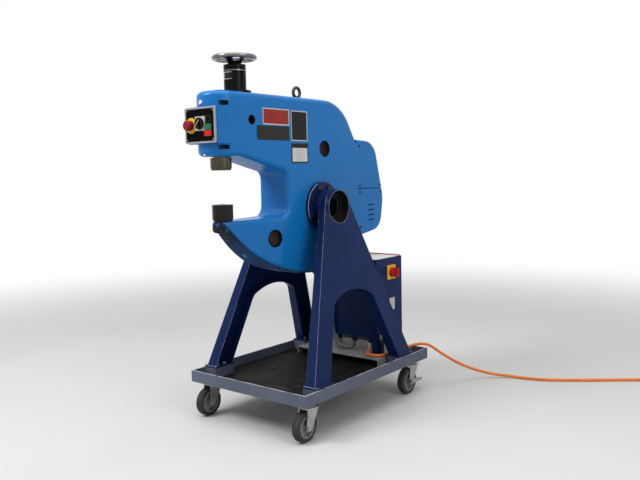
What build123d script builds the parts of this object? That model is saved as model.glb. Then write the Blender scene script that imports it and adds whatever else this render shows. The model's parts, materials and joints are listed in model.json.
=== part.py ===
from build123d import *
import os
from math import atan, cos, degrees, hypot, pi, radians, sin, tan

# Power forming machine: a cast C-frame with a rocker-driven ram hangs on two hollow trunnions
# between leaning stands, on a wheeled angle-iron cart with an electric cabinet behind it.
# Millimetres. +X is the right side as seen from the tools, +Y the rear, +Z up, floor at Z = 0.
# Heights and lengths of the tilting C-frame are measured from the trunnion axis.

# Cart
CART_WIDTH = 656
CART_LENGTH = 925
RAIL_LEG = 50
RAIL_WALL = 5
TRAY_SHEET = 2
CORNER_PLATE_X = 112
CORNER_PLATE_Y = 150
SHEET_GAP = 0.5

# Casters
CASTER_HEIGHT = 156
CASTER_INSET_X = 50
CASTER_INSET_Y = 80
CASTER_TRAIL = 30
CASTER_HEADROOM = 31
TYRE_WIDTH = 36
TYRE_WALL = 16
HUB_SIDE = 2
AXLE_RADIUS = 6
AXLE_HEAD = 5
FORK_SIDE_GAP = 1
FORK_WALL = 4
FORK_LEG_HALF = 17
CASTER_PLATE = 4
CASTER_PLATE_X = 84
CASTER_PLATE_Y = 104
CASTER_BOLT_X = 60
CASTER_BOLT_Y = 76
CASTER_BOLT_RADIUS = 4
RACE_RADIUS = 33
RACE_HEIGHT = 14
KINGPIN_RADIUS = 8
KINGPIN_NUT = 6
PEDAL_REACH = 96
PEDAL_LENGTH = 38
PEDAL_WALL = 3

# Stands
STAND_BASE_HALF = 357
STAND_SKEW = 14
STAND_HUB_HALF = 91
STAND_TOP_RADIUS = 90
STAND_INSET = 17
STAND_WALL = 8
STAND_DEPTH = 52
STAND_TOP_DEPTH = 34
LEG_WIDTH = 102
ARCH_CROWN = 378
ARCH_SHOULDER = 309
ARCH_CROWN_SHARE = 0.79
ARCH_CORNER_RADIUS = 45
FOOT_PLATE = 8
FOOT_EDGE = 6
FOOT_BOLT_RADIUS = 6
HUB_WALL = 12
HUB_LENGTH = 64
HUB_PROUD = 6
HUB_MOUTH_WALL = 5
HUB_MOUTH_DEPTH = 38

# Trunnions
TRUNNION_Y = -38.5
TRUNNION_Z = 915
TRUNNION_RADIUS = 58
TRUNNION_BORE = 46
BUSH_WALL = 5
FLANGE_RADIUS = 108
FLANGE_THICK = 18
FLANGE_BOLT_CIRCLE = 88
FLANGE_BOLT_RADIUS = 7
FLANGE_BOLT_HEAD = 8
FLANGE_BOLT_COUNT = 8
STAND_SIDE_GAP = 6

# C-frame casting, measured from the trunnion axis
FRAME_HALF = 86
FRAME_EDGE = 22
FRAME_TOP = 469
FRAME_BACK = 276
THROAT_WALL = -214
THROAT_TOP = 153
THROAT_TOP_RADIUS = 38
THROAT_FLOOR = -31
THROAT_FLOOR_RADIUS = 45
TOOL_AXIS = -513
HEAD_BOTTOM = 219
HEAD_FLAT = 39
HEAD_BEND_RADIUS = 150
JAW_ROOT = -264
JAW_ROOT_BOTTOM = -249
JAW_MID = -390
JAW_MID_TOP = -33
JAW_TOP = -34
JAW_NOSE_RADIUS = 42
JAW_NOSE_BOTTOM = -80
JAW_MID_HALF = 66
JAW_MID_BOTTOM = -186
JAW_EDGE = 14
HEEL = (-144, -283)
HEEL_RADIUS = 250
BELLY = (-24, -293)
BELLY_RADIUS = 300
KEEL = (176, -247)
KEEL_RADIUS = 200
BACK_TOP = 300
BACK_BOTTOM = -147
SHOULDER_Y = 170
SHOULDER_RADIUS = 205
SIDE_WALL = 26
TOP_WALL = 36
NOSE_WALL = 44
THROAT_WALL_THICK = 50
FLOOR_WALL = 118
BACK_LIP = 24
ACCESS_RADIUS = 19
JAW_PLUG = (-298, -118)
JAW_PLUG_RADIUS = 37
JAW_PLUG_DEPTH = 20
SPOT_FACE_EDGE = 3

# Rocker drive, measured from the trunnion axis
FULCRUM_Y = -421
FULCRUM_Z = 362
FULCRUM_PIN_RADIUS = 14
FULCRUM_HALF = 38
FULCRUM_CHEEK = 17
FULCRUM_LENGTH = 52
FULCRUM_TOP = 428
FULCRUM_BRIDGE = 20
LEVER_HALF = 20
LEVER_NOSE = 338
LEVER_NOSE_HEIGHT = 48
LEVER_BACK = 42
NOSE_GAP = 1.2
ECCENTRIC_Y = 36
ECCENTRIC_Z = 253
ECCENTRIC_RADIUS = 40
ECCENTRIC_THROW = 12
ECCENTRIC_HALF = 15
FORK_ROOM = 28
FORK_TINE = 14
JOURNAL_RADIUS = 20
BEARING_RADIUS = 36
BEARING_WIDTH = 18
BEARING_RECESS = 12
JOURNAL_SETBACK = 2
BELT_WHEEL_RADIUS = 85
MOTOR_PULLEY_RADIUS = 42
BELT_X = 40
BELT_WIDTH = 20
BELT_THICK = 8
PULLEY_WIDTH = 24
MOTOR_REACH = 105
MOTOR_Z = -10
MOTOR_RADIUS = 85
MOTOR_SHAFT_RADIUS = 14
MOTOR_FACE_X = 18
MOTOR_REAR_X = -78
MOTOR_PLATE = 12
MOTOR_PLATE_TOP = -30
MOTOR_FOOT = 20
MOTOR_ROOM = 2
RAM_RADIUS = 30
GUIDE_WALL = 8
GUIDE_LENGTH = 81

# Tool holders and adjustment
UPPER_HOLDER_RADIUS = 42
UPPER_HOLDER_BOTTOM = 166
HOLDER_GAP = 4
LOWER_HOLDER_RADIUS = 41.5
LOWER_HOLDER_TOP = 32
TOOL_BORE_RADIUS = 20
TOOL_BORE_DEPTH = 35
TOOL_BORE_CHAMFER = 1.5
TOOL_BORE_POINT = 3
HOLDER_RIM = 3
HOLDER_RIM_HEIGHT = 7
COLUMN_RADIUS = 44.5
COLUMN_FLANGE_RADIUS = 64
COLUMN_FLANGE = 10
COLUMN_TOP = 581
COLUMN_CAP = 14
COLUMN_BORE = 32
SPINDLE_RADIUS = 11
SPINDLE_COLLAR_RADIUS = 20
SPINDLE_COLLAR = 8
SPINDLE_ROOM = 1
WHEEL_RIM_CENTRE = 609
WHEEL_RIM_RADIUS = 81
WHEEL_RIM_HALF = 9
WHEEL_HUB_RADIUS = 22
WHEEL_HUB_HEIGHT = 26
WHEEL_SPOKES = 5
WHEEL_SPOKE_WIDTH = 22
WHEEL_SPOKE_THICK = 8

# Rear cover, measured from the trunnion axis
COVER_HALF = 85
COVER_SHEET = 3
COVER_GAP = 0.3
COVER_SEAM = 68
COVER_SEAM_GAP = 4
COVER_EDGE = 8
COVER_TOP = 299
COVER_SHOULDER = (152, 291)
COVER_SHOULDER_RADIUS = 95
COVER_BACK = (224, 22)
COVER_BACK_RADIUS = 150
COVER_HEEL = (198, -128)
COVER_HEEL_RADIUS = 80
COVER_BOTTOM = -158
LOUVRE_LENGTH = 46
LOUVRE_HEIGHT = 5
LOUVRE_PITCH = 24
LOUVRE_COUNT = 4
LOUVRE_REACH = 116
LOUVRE_TOP_Z = -12

# Control panel, measured from the trunnion axis
BAND_HEIGHT = 140
BAND_FRONT = -604
BAND_CORNER = 12
PANEL_Z = 338
PANEL_WIDTH = 168
PANEL_HEIGHT = 136
PANEL_DEPTH = 12
PANEL_CORNER = 6
PLATE_WIDTH = 154
PLATE_HEIGHT = 122
PLATE_THICK = 3
ESTOP_X = -48
ESTOP_RING_RADIUS = 30
ESTOP_RING = 4
ESTOP_NECK_RADIUS = 11
ESTOP_HEAD_RADIUS = 20
ESTOP_HEAD = 18
ESTOP_TRAVEL = 6
SELECTOR_X = 4
SELECTOR_RISE = 6
SELECTOR_PLATE = 54
SELECTOR_RADIUS = 22
SELECTOR_DEPTH = 16
BUTTON_X = 48
BUTTON_WIDTH = 36
BUTTON_HEIGHT = 22
BUTTON_DEPTH = 7
BUTTON_DROP = 20
BUTTON_WEB = 2
BUTTON_TRAVEL = 4
CONTROL_FIT = 0.3
CONTROL_PLATE = 3

# Eyebolt
EYE_Y = -46
EYE_RADIUS = 21.5
EYE_BAR = 7
EYE_SHOULDER_RADIUS = 15
EYE_SHOULDER = 6
EYE_SINK = 4

# Cabinet
CABINET_WIDTH = 380
CABINET_HEIGHT = 380
CABINET_DEPTH = 215
CABINET_INSET = 9.5
CABINET_LIFT = 72
CABINET_SHEET = 2
DOOR_SHEET = 2
HINGE_OFFSET = 5
HINGE_RADIUS = 4
HINGE_PIN_RADIUS = 2
HINGE_LENGTH = 40
HINGE_INSET = 50
SHELF_TOP = 198
SHELF_SHEET = 4
SHELF_LEAD = 78
SHELF_SIDE = 11
FOOT_STRAP = 4
FOOT_STRAP_WIDTH = 30
FOOT_STRAP_RISE = 30
SWITCH_PLATE = 68
SWITCH_PLATE_THICK = 4
SWITCH_FROM_REAR = 92
SWITCH_FROM_TOP = 70
SWITCH_RADIUS = 23
SWITCH_DEPTH = 38
SWITCH_NECK_RADIUS = 6
GEAR_PLATE = 3
GEAR_DEPTH = 80
GEAR_STANDOFF = 25
GEAR_COUNT = 4

# Running and seating clearances
RUN_FIT = 0.05
SEAT_FIT = 0.05
FACE_GAP = 0.3

# Cables
CONDUIT_RADIUS = 10
CONDUIT_EXIT_X = 42
CONDUIT_EXIT_Y = 259.5
GLAND_WALL = 5
GLAND_LENGTH = 24
GLAND_TIP = 2.5
CORD_RADIUS = 7
CORD_EXIT_X = 141
CORD_EXIT_Y = 251.5
CORD_LAY = 0.5
COIL_PITCH = 15
COIL_OUTER = 96
COIL_LAST_EXTRA = 11
COIL_HEADING = (0.811, 0.585)
COIL_START = (1226, 1244.1, 7.5)
COIL_HALF_TURNS_IN = 5
COIL_HALF_TURNS_OUT = 6
PLUG_RADIUS = 21.5
PLUG_LENGTH = 78
PLUG_TAIL = 46
PLUG_PIN_RADIUS = 3
PLUG_PIN_LENGTH = 24
PLUG_PIN_CIRCLE = 11
PLUG_PIN_COUNT = 5

# Levels that follow from the sizes above
RIM_TOP = CASTER_HEIGHT + RAIL_LEG
WHEEL_RADIUS = (CASTER_HEIGHT - CASTER_HEADROOM) / 2
TRAY_TOP = CASTER_HEIGHT + RAIL_WALL + TRAY_SHEET
CART_HALF = CART_WIDTH / 2
CART_FRONT = -CART_LENGTH / 2
CART_REAR = CART_LENGTH / 2
STAND_SEAT = RIM_TOP + FOOT_PLATE
STAND_INNER = FRAME_HALF + FLANGE_THICK + FLANGE_BOLT_HEAD + STAND_SIDE_GAP
STAND_FOOT_X = CART_HALF - STAND_INSET
STAND_HUB_X = STAND_INNER + HUB_LENGTH
LEAN = degrees(atan((STAND_FOOT_X - STAND_HUB_X) / (TRUNNION_Z - STAND_SEAT)))
BUSH_RADIUS = TRUNNION_RADIUS + BUSH_WALL
HUB_FACE = STAND_HUB_X + HUB_PROUD
HUB_RADIUS = BUSH_RADIUS + HUB_WALL
HUB_MOUTH_RADIUS = HUB_RADIUS - HUB_MOUTH_WALL
BUSH_END = HUB_FACE - HUB_MOUTH_DEPTH
STAND_BASE_Y = TRUNNION_Y + STAND_SKEW
AXLE_HALF = TYRE_WIDTH / 2 + HUB_SIDE + FORK_SIDE_GAP + FORK_WALL
CABINET_REAR = CART_REAR - CABINET_INSET
CABINET_FRONT = CABINET_REAR - CABINET_DEPTH
CABINET_BOTTOM = SHELF_TOP + CABINET_LIFT
CABINET_TOP = CABINET_BOTTOM + CABINET_HEIGHT
CABINET_HALF = CABINET_WIDTH / 2
SHELF_FRONT = CABINET_FRONT - SHELF_LEAD
SHELF_HALF = STAND_FOOT_X - STAND_DEPTH - FOOT_EDGE - SHELF_SIDE
MOTOR_Y = FRAME_BACK + MOTOR_REACH
CAVITY_HALF = FRAME_HALF - SIDE_WALL
PANEL_FRONT = BAND_FRONT - PANEL_DEPTH
ESTOP_FRONT = PANEL_FRONT - ESTOP_RING - ESTOP_TRAVEL - FACE_GAP - ESTOP_HEAD
ORIGIN_Y = (TRUNNION_Y + ESTOP_FRONT + CART_REAR) / 2


# Shared shapes


def block(x_low, x_high, y_low, y_high, z_low, z_high):
    middle = Pos((x_low + x_high) / 2, (y_low + y_high) / 2, (z_low + z_high) / 2)
    return middle * Box(x_high - x_low, y_high - y_low, z_high - z_low)


def rod_x(radius, x_low, x_high, y, z):
    return Pos((x_low + x_high) / 2, y, z) * Rot(0, 90, 0) * Cylinder(radius, x_high - x_low)


def rod_y(radius, y_low, y_high, x, z):
    return Pos(x, (y_low + y_high) / 2, z) * Rot(90, 0, 0) * Cylinder(radius, y_high - y_low)


def rod_z(radius, z_low, z_high, x, y):
    return Pos(x, y, (z_low + z_high) / 2) * Cylinder(radius, z_high - z_low)


def outline(points, radii):
    return make_face(FilletPolyline(*points, radius=radii, close=True))


def slab_x(face, x_low, x_high):
    return extrude(Plane.YZ.offset(x_low) * face, x_high - x_low)


def mirrored(solid):
    return mirror(solid, Plane.YZ)


def both_sides(solid):
    return [solid, mirrored(solid)]


def hex_head(radius, height):
    return extrude(RegularPolygon(radius, 6), height)


# Cart


def make_cart_frame():
    inner_half = CART_HALF - RAIL_WALL
    inner_front = CART_FRONT + RAIL_WALL
    leg_half = CART_HALF - RAIL_LEG
    leg_front = CART_FRONT + RAIL_LEG
    frame = block(-CART_HALF, CART_HALF, CART_FRONT, CART_REAR, CASTER_HEIGHT, RIM_TOP)
    frame -= block(-inner_half, inner_half, inner_front, -inner_front, CASTER_HEIGHT + RAIL_WALL, RIM_TOP)
    frame -= block(-leg_half, leg_half, leg_front, -leg_front, CASTER_HEIGHT, RIM_TOP)
    for side in (-1, 1):
        for end in (-1, 1):
            corner = Pos(
                side * (CART_HALF - CORNER_PLATE_X / 2),
                end * (CART_REAR - CORNER_PLATE_Y / 2),
                CASTER_HEIGHT + RAIL_WALL / 2,
            )
            frame += corner * Box(CORNER_PLATE_X, CORNER_PLATE_Y, RAIL_WALL)
    for pad in foot_boxes(CASTER_HEIGHT + RAIL_WALL, RIM_TOP, 0):
        frame += pad
    for x, y in foot_bolt_places():
        frame -= rod_z(FOOT_BOLT_RADIUS, RIM_TOP - RAIL_LEG / 2, RIM_TOP, x, y)
    for x, y in caster_bolt_places():
        frame -= rod_z(CASTER_BOLT_RADIUS, CASTER_HEIGHT, CASTER_HEIGHT + RAIL_WALL, x, y)
    return frame


def foot_boxes(z_low, z_high, room):
    x_low = STAND_FOOT_X - STAND_DEPTH - FOOT_EDGE - room
    x_high = CART_HALF - RAIL_WALL
    boxes = []
    for end in (-1, 1):
        far = STAND_BASE_Y + end * (STAND_BASE_HALF + FOOT_EDGE + room)
        near = STAND_BASE_Y + end * (STAND_BASE_HALF - LEG_WIDTH - FOOT_EDGE - room)
        pad = block(x_low, x_high, min(far, near), max(far, near), z_low, z_high)
        boxes += both_sides(pad)
    return boxes


def foot_bolt_places():
    x = STAND_FOOT_X - STAND_WALL - (STAND_DEPTH - STAND_WALL) / 2
    places = []
    for side in (-1, 1):
        for end in (-1, 1):
            middle = STAND_BASE_Y + end * (STAND_BASE_HALF - LEG_WIDTH / 2)
            for step in (-1, 1):
                places.append((side * x, middle + step * LEG_WIDTH / 5))
    return places


def caster_places():
    x = CART_HALF - CASTER_INSET_X
    y = CART_REAR - CASTER_INSET_Y
    return {"front_left": (-x, -y), "front_right": (x, -y), "rear_left": (-x, y), "rear_right": (x, y)}


def caster_bolt_places():
    places = []
    for x, y in caster_places().values():
        for step_x in (-1, 1):
            for step_y in (-1, 1):
                places.append((x + step_x * CASTER_BOLT_X / 2, y + step_y * CASTER_BOLT_Y / 2))
    return places


def make_tray_sheet():
    half = CART_HALF - RAIL_WALL - SHEET_GAP
    end = CART_REAR - RAIL_WALL - SHEET_GAP
    tray = block(-half, half, -end, end, TRAY_TOP - TRAY_SHEET, TRAY_TOP)
    for pad in foot_boxes(CASTER_HEIGHT, RIM_TOP, SHEET_GAP):
        tray -= pad
    return tray


def make_cabinet_shelf():
    rear = CART_REAR - RAIL_WALL - SHEET_GAP
    shelf = block(-SHELF_HALF, SHELF_HALF, SHELF_FRONT, rear, TRAY_TOP, SHELF_TOP)
    inner = SHELF_HALF - SHELF_SHEET
    shelf -= block(-inner, inner, SHELF_FRONT, rear, TRAY_TOP, SHELF_TOP - SHELF_SHEET)
    return shelf


def make_cart_bolts():
    bolts = []
    shank = RAIL_LEG / 2 - 1
    for x, y in foot_bolt_places():
        bolt = rod_z(FOOT_BOLT_RADIUS - FACE_GAP, STAND_SEAT - shank, STAND_SEAT, x, y)
        bolts.append(bolt + Pos(x, y, STAND_SEAT) * hex_head(FOOT_BOLT_RADIUS * 1.8, FOOT_BOLT_RADIUS))
    plate_bottom = CASTER_HEIGHT - CASTER_PLATE
    for x, y in caster_bolt_places():
        top = CASTER_HEIGHT + RAIL_WALL
        bolt = rod_z(CASTER_BOLT_RADIUS - FACE_GAP, plate_bottom, top, x, y)
        head = hex_head(CASTER_BOLT_RADIUS * 1.8, CASTER_BOLT_RADIUS)
        bolts.append(bolt + Pos(x, y, plate_bottom - CASTER_BOLT_RADIUS) * head)
    return bolts


# Casters


def make_caster_plates():
    plates = []
    plate_bottom = CASTER_HEIGHT - CASTER_PLATE
    race_bottom = plate_bottom - RACE_HEIGHT
    for x, y in caster_places().values():
        plate = block(
            x - CASTER_PLATE_X / 2, x + CASTER_PLATE_X / 2,
            y - CASTER_PLATE_Y / 2, y + CASTER_PLATE_Y / 2,
            plate_bottom, CASTER_HEIGHT,
        )
        for step_x in (-1, 1):
            for step_y in (-1, 1):
                hole_x = x + step_x * CASTER_BOLT_X / 2
                hole_y = y + step_y * CASTER_BOLT_Y / 2
                plate -= rod_z(CASTER_BOLT_RADIUS, plate_bottom, CASTER_HEIGHT, hole_x, hole_y)
        race = Pos(x, y, plate_bottom - RACE_HEIGHT / 2) * Cone(RACE_RADIUS - 6, RACE_RADIUS, RACE_HEIGHT)
        crown_bottom = race_bottom - FACE_GAP - FORK_WALL
        pin = rod_z(KINGPIN_RADIUS, crown_bottom - FACE_GAP, race_bottom, x, y)
        nut_top = crown_bottom - FACE_GAP
        nut = Pos(x, y, nut_top - KINGPIN_NUT) * hex_head(KINGPIN_RADIUS * 1.6, KINGPIN_NUT)
        plates.append(plate + race + pin + nut)
    return plates


def make_fork(x, y, washer):
    crown_top = CASTER_HEIGHT - CASTER_PLATE - RACE_HEIGHT - FACE_GAP
    crown_bottom = crown_top - FORK_WALL
    axle_y = y - CASTER_TRAIL
    outer = AXLE_HALF
    crown = rod_z(RACE_RADIUS, crown_bottom, crown_top, x, y)
    crown += block(x - outer, x + outer, y - RACE_RADIUS, y + RACE_RADIUS / 2, crown_bottom, crown_top)
    crown -= rod_z(KINGPIN_RADIUS + RUN_FIT, crown_bottom, crown_top, x, y)
    leg_face = outline(
        [
            (y - RACE_RADIUS, crown_top),
            (y + RACE_RADIUS / 2, crown_top),
            (axle_y + FORK_LEG_HALF, WHEEL_RADIUS - FORK_LEG_HALF),
            (axle_y - FORK_LEG_HALF, WHEEL_RADIUS - FORK_LEG_HALF),
        ],
        [0, 0, FORK_LEG_HALF * 0.8, FORK_LEG_HALF * 0.8],
    )
    leg = slab_x(leg_face, x + outer - FORK_WALL, x + outer)
    seat = outer + washer
    bolt = rod_x(AXLE_RADIUS, x - seat, x + seat, axle_y, WHEEL_RADIUS)
    head = Rot(0, 90, 0) * hex_head(AXLE_RADIUS * 1.8, AXLE_HEAD)
    bolt += Pos(x + seat, axle_y, WHEEL_RADIUS) * head
    bolt += Pos(x - seat - AXLE_HEAD, axle_y, WHEEL_RADIUS) * head
    return crown + leg + Pos(2 * x, 0, 0) * mirrored(leg) + bolt


def make_wheel_hub(x, y):
    axle_y = y - CASTER_TRAIL
    half = TYRE_WIDTH / 2 + HUB_SIDE
    rim_radius = WHEEL_RADIUS - TYRE_WALL
    rim = rod_x(rim_radius, x - TYRE_WIDTH / 2 + HUB_SIDE, x + TYRE_WIDTH / 2 - HUB_SIDE, axle_y, WHEEL_RADIUS)
    dish = rod_x(rim_radius * 0.8, x + HUB_SIDE * 3, x + half, axle_y, WHEEL_RADIUS)
    rim = rim - dish - Pos(2 * x, 0, 0) * mirrored(dish)
    rim += rod_x(AXLE_RADIUS * 2.2, x - half, x + half, axle_y, WHEEL_RADIUS)
    return rim - rod_x(AXLE_RADIUS + RUN_FIT, x - half, x + half, axle_y, WHEEL_RADIUS)


def make_tyre(x, y):
    axle_y = y - CASTER_TRAIL
    inner = WHEEL_RADIUS - TYRE_WALL
    half = TYRE_WIDTH / 2
    section = outline(
        [(half, inner), (half, WHEEL_RADIUS), (-half, WHEEL_RADIUS), (-half, inner)],
        [0, TYRE_WALL * 0.6, TYRE_WALL * 0.6, 0],
    )
    ring = revolve(Plane.XY * section, Axis.X)
    return Pos(x, axle_y, WHEEL_RADIUS) * ring


def make_brake_pedal(x, y):
    axle_y = y - CASTER_TRAIL
    inner = AXLE_HALF + FACE_GAP
    arm_face = outline(
        [
            (axle_y - AXLE_RADIUS * 2, WHEEL_RADIUS - AXLE_RADIUS * 2),
            (axle_y + PEDAL_REACH, WHEEL_RADIUS - AXLE_RADIUS * 2),
            (axle_y + PEDAL_REACH, WHEEL_RADIUS),
            (axle_y - AXLE_RADIUS * 2, WHEEL_RADIUS + AXLE_RADIUS * 2),
        ],
        [AXLE_RADIUS, AXLE_RADIUS / 2, AXLE_RADIUS / 2, AXLE_RADIUS],
    )
    arm = slab_x(arm_face, x + inner, x + inner + PEDAL_WALL)
    arm -= rod_x(AXLE_RADIUS + RUN_FIT, x + inner, x + inner + PEDAL_WALL, axle_y, WHEEL_RADIUS)
    tread = block(
        x - inner - PEDAL_WALL, x + inner + PEDAL_WALL,
        axle_y + PEDAL_REACH - PEDAL_LENGTH * 0.65, axle_y + PEDAL_REACH,
        WHEEL_RADIUS - AXLE_RADIUS * 2, WHEEL_RADIUS,
    )
    return arm + Pos(2 * x, 0, 0) * mirrored(arm) + tread


# Stands and trunnions


def skewed(points, rise):
    return [(y + STAND_SKEW * (1 - z / rise), z) for y, z in points]


def inner_taper():
    low_edge = STAND_FOOT_X - STAND_DEPTH
    high_edge = STAND_HUB_X - STAND_TOP_DEPTH
    lean_in = (low_edge - high_edge) / (TRUNNION_Z - STAND_SEAT)
    top = TRUNNION_Z + STAND_TOP_RADIUS * 2
    top_edge = high_edge - lean_in * STAND_TOP_RADIUS * 2
    points = [(0, STAND_SEAT), (low_edge, STAND_SEAT), (top_edge, top), (0, top)]
    return extrude(Plane.XZ.offset(-CART_REAR) * outline(points, 0), CART_LENGTH)


def make_right_stand():
    rise = (TRUNNION_Z - STAND_SEAT) / cos(radians(LEAN))
    slope = (STAND_BASE_HALF - STAND_HUB_HALF) / rise
    sink = STAND_DEPTH * tan(radians(LEAN)) * 1.5
    base_half = STAND_BASE_HALF + slope * sink
    apex = STAND_BASE_HALF / slope
    outer_points = [(-base_half, -sink), (base_half, -sink), (0, apex)]
    outer = outline(skewed(outer_points, rise), [0, 0, STAND_TOP_RADIUS])
    foot_half = STAND_BASE_HALF - LEG_WIDTH + slope * sink
    shoulder_half = STAND_BASE_HALF - LEG_WIDTH - slope * ARCH_SHOULDER
    arch_points = [
        (-foot_half, -sink),
        (-shoulder_half, ARCH_SHOULDER),
        (0, ARCH_CROWN),
        (shoulder_half, ARCH_SHOULDER),
        (foot_half, -sink),
    ]
    crown_rise = ARCH_CROWN - ARCH_SHOULDER
    crown_run = hypot(shoulder_half, crown_rise)
    crown_radius = ARCH_CROWN_SHARE * crown_run * shoulder_half / crown_rise
    arch_radii = [0, ARCH_CORNER_RADIUS, crown_radius, ARCH_CORNER_RADIUS, 0]
    arch = outline(skewed(arch_points, rise), arch_radii)
    plate = slab_x(outer, -STAND_DEPTH, 0) - slab_x(arch, -STAND_DEPTH, 0)
    pocket = slab_x(offset(outer, -STAND_WALL), -STAND_DEPTH, -STAND_WALL)
    pocket -= slab_x(offset(arch, STAND_WALL), -STAND_DEPTH, -STAND_WALL)
    channel = Pos(STAND_FOOT_X, TRUNNION_Y, STAND_SEAT) * Rot(0, -LEAN, 0) * (plate - pocket)
    channel -= block(0, CART_WIDTH, CART_FRONT, CART_REAR, 0, STAND_SEAT)
    channel -= inner_taper()
    channel += rod_x(HUB_RADIUS, STAND_INNER, HUB_FACE, TRUNNION_Y, TRUNNION_Z)
    channel -= rod_x(BUSH_RADIUS, 0, CART_HALF, TRUNNION_Y, TRUNNION_Z)
    channel -= rod_x(HUB_MOUTH_RADIUS, BUSH_END, CART_HALF, TRUNNION_Y, TRUNNION_Z)
    channel -= block(0, STAND_INNER, CART_FRONT, CART_REAR, STAND_SEAT, TRUNNION_Z * 2)
    for foot in foot_boxes(RIM_TOP, STAND_SEAT, 0)[::2]:
        channel += foot
    for x, y in foot_bolt_places():
        channel -= rod_z(FOOT_BOLT_RADIUS, RIM_TOP, STAND_SEAT, x, y)
    return channel


def make_trunnion_bushes():
    bush = rod_x(BUSH_RADIUS, STAND_INNER, BUSH_END, TRUNNION_Y, TRUNNION_Z)
    bush -= rod_x(TRUNNION_RADIUS + RUN_FIT, STAND_INNER, BUSH_END, TRUNNION_Y, TRUNNION_Z)
    return both_sides(bush)


def flange_bolt_angles():
    return [(index + 0.5) * 2 * pi / FLANGE_BOLT_COUNT for index in range(FLANGE_BOLT_COUNT)]


def make_trunnions():
    flange_face = FRAME_HALF + FLANGE_THICK
    stub = rod_x(FLANGE_RADIUS, FRAME_HALF, flange_face, 0, 0)
    stub += rod_x(TRUNNION_RADIUS, flange_face, BUSH_END - HUB_PROUD, 0, 0)
    stub -= rod_x(TRUNNION_BORE, FRAME_HALF, BUSH_END, 0, 0)
    for angle in flange_bolt_angles():
        y = FLANGE_BOLT_CIRCLE * cos(angle)
        z = FLANGE_BOLT_CIRCLE * sin(angle)
        stub -= rod_x(FLANGE_BOLT_RADIUS, FRAME_HALF, flange_face, y, z)
    return both_sides(stub)


def make_trunnion_bolts():
    bolts = []
    flange_face = FRAME_HALF + FLANGE_THICK
    for angle in flange_bolt_angles():
        y = FLANGE_BOLT_CIRCLE * cos(angle)
        z = FLANGE_BOLT_CIRCLE * sin(angle)
        bolt = rod_x(FLANGE_BOLT_RADIUS - FACE_GAP, FRAME_HALF, flange_face, y, z)
        head = Rot(0, 90, 0) * hex_head(FLANGE_BOLT_RADIUS * 1.5, FLANGE_BOLT_HEAD)
        bolts += both_sides(bolt + Pos(flange_face, y, z) * head)
    return bolts


# C-frame casting


def rounded_half(half, z_low, z_high, edge):
    points = [(0, z_low), (half, z_low), (half, z_high), (0, z_high)]
    return Plane.XZ.offset(-TOOL_AXIS) * outline(points, [0, edge, edge, 0])


def nose_of(half_section):
    axis = Axis((0, TOOL_AXIS, 0), (0, 0, -1))
    return revolve(half_section, axis, 180)


def make_casting_body():
    run_out = FRAME_EDGE * 4
    front = TOOL_AXIS - run_out
    jaw_end = JAW_ROOT - run_out
    back = FRAME_BACK + run_out
    jaw_slope = (JAW_ROOT_BOTTOM - HEEL[1]) / (HEEL[0] - JAW_ROOT)
    keel_slope = (BACK_BOTTOM - KEEL[1]) / (FRAME_BACK - KEEL[0])
    shoulder_slope = (FRAME_TOP - BACK_TOP) / (FRAME_BACK - SHOULDER_Y)
    corners = [
        (front, HEAD_BOTTOM, 0),
        (TOOL_AXIS + HEAD_FLAT, HEAD_BOTTOM, HEAD_BEND_RADIUS),
        (THROAT_WALL, THROAT_TOP, THROAT_TOP_RADIUS),
        (THROAT_WALL, THROAT_FLOOR, THROAT_FLOOR_RADIUS),
        (jaw_end, THROAT_FLOOR, 0),
        (jaw_end, JAW_ROOT_BOTTOM + run_out * jaw_slope, 0),
        (*HEEL, HEEL_RADIUS),
        (*BELLY, BELLY_RADIUS),
        (*KEEL, KEEL_RADIUS),
        (back, BACK_BOTTOM + run_out * keel_slope, 0),
        (back, BACK_TOP - run_out * shoulder_slope, 0),
        (SHOULDER_Y, FRAME_TOP, SHOULDER_RADIUS),
        (front, FRAME_TOP, 0),
    ]
    face = outline([corner[:2] for corner in corners], [corner[2] for corner in corners])
    body = slab_x(face, -FRAME_HALF, FRAME_HALF)
    ends = (front, jaw_end, back)
    rims = []
    for edge in body.edges():
        middle = edge.center()
        on_side = abs(abs(middle.X) - FRAME_HALF) < SEAT_FIT
        on_end = min(abs(middle.Y - end) for end in ends) < SEAT_FIT
        if on_side and not on_end:
            rims.append(edge)
    body = fillet(rims, FRAME_EDGE)
    gape = (THROAT_TOP + THROAT_FLOOR) / 2
    body -= block(-FRAME_HALF, FRAME_HALF, front, TOOL_AXIS, gape, FRAME_TOP)
    body -= block(-FRAME_HALF, FRAME_HALF, front, JAW_ROOT, BELLY[1], gape)
    body -= block(-FRAME_HALF, FRAME_HALF, FRAME_BACK, back, BELLY[1], FRAME_TOP)
    return body


def make_jaw(body):
    root = body.faces().filter_by(Axis.Y).sort_by(lambda face: abs(face.center().Y - JAW_ROOT))[0]
    sections = [root]
    for y, half, z_low, z_high, edge in (
        (JAW_MID, JAW_MID_HALF, JAW_MID_BOTTOM, JAW_MID_TOP, (FRAME_EDGE + JAW_EDGE) / 2),
        (TOOL_AXIS, JAW_NOSE_RADIUS, JAW_NOSE_BOTTOM, JAW_TOP, JAW_EDGE),
    ):
        section = Plane.XZ.offset(-y) * Pos(0, (z_low + z_high) / 2)
        sections.append((section * RectangleRounded(2 * half, z_high - z_low, edge)).face())
    return loft(sections)


def make_panel_band():
    low = PANEL_Z - BAND_HEIGHT / 2
    high = PANEL_Z + BAND_HEIGHT / 2
    band = block(-FRAME_HALF, FRAME_HALF, BAND_FRONT, TOOL_AXIS, low, high)
    corners = band.edges().filter_by(Axis.Z).group_by(Axis.Y)[0]
    return fillet(corners, BAND_CORNER)


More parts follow.
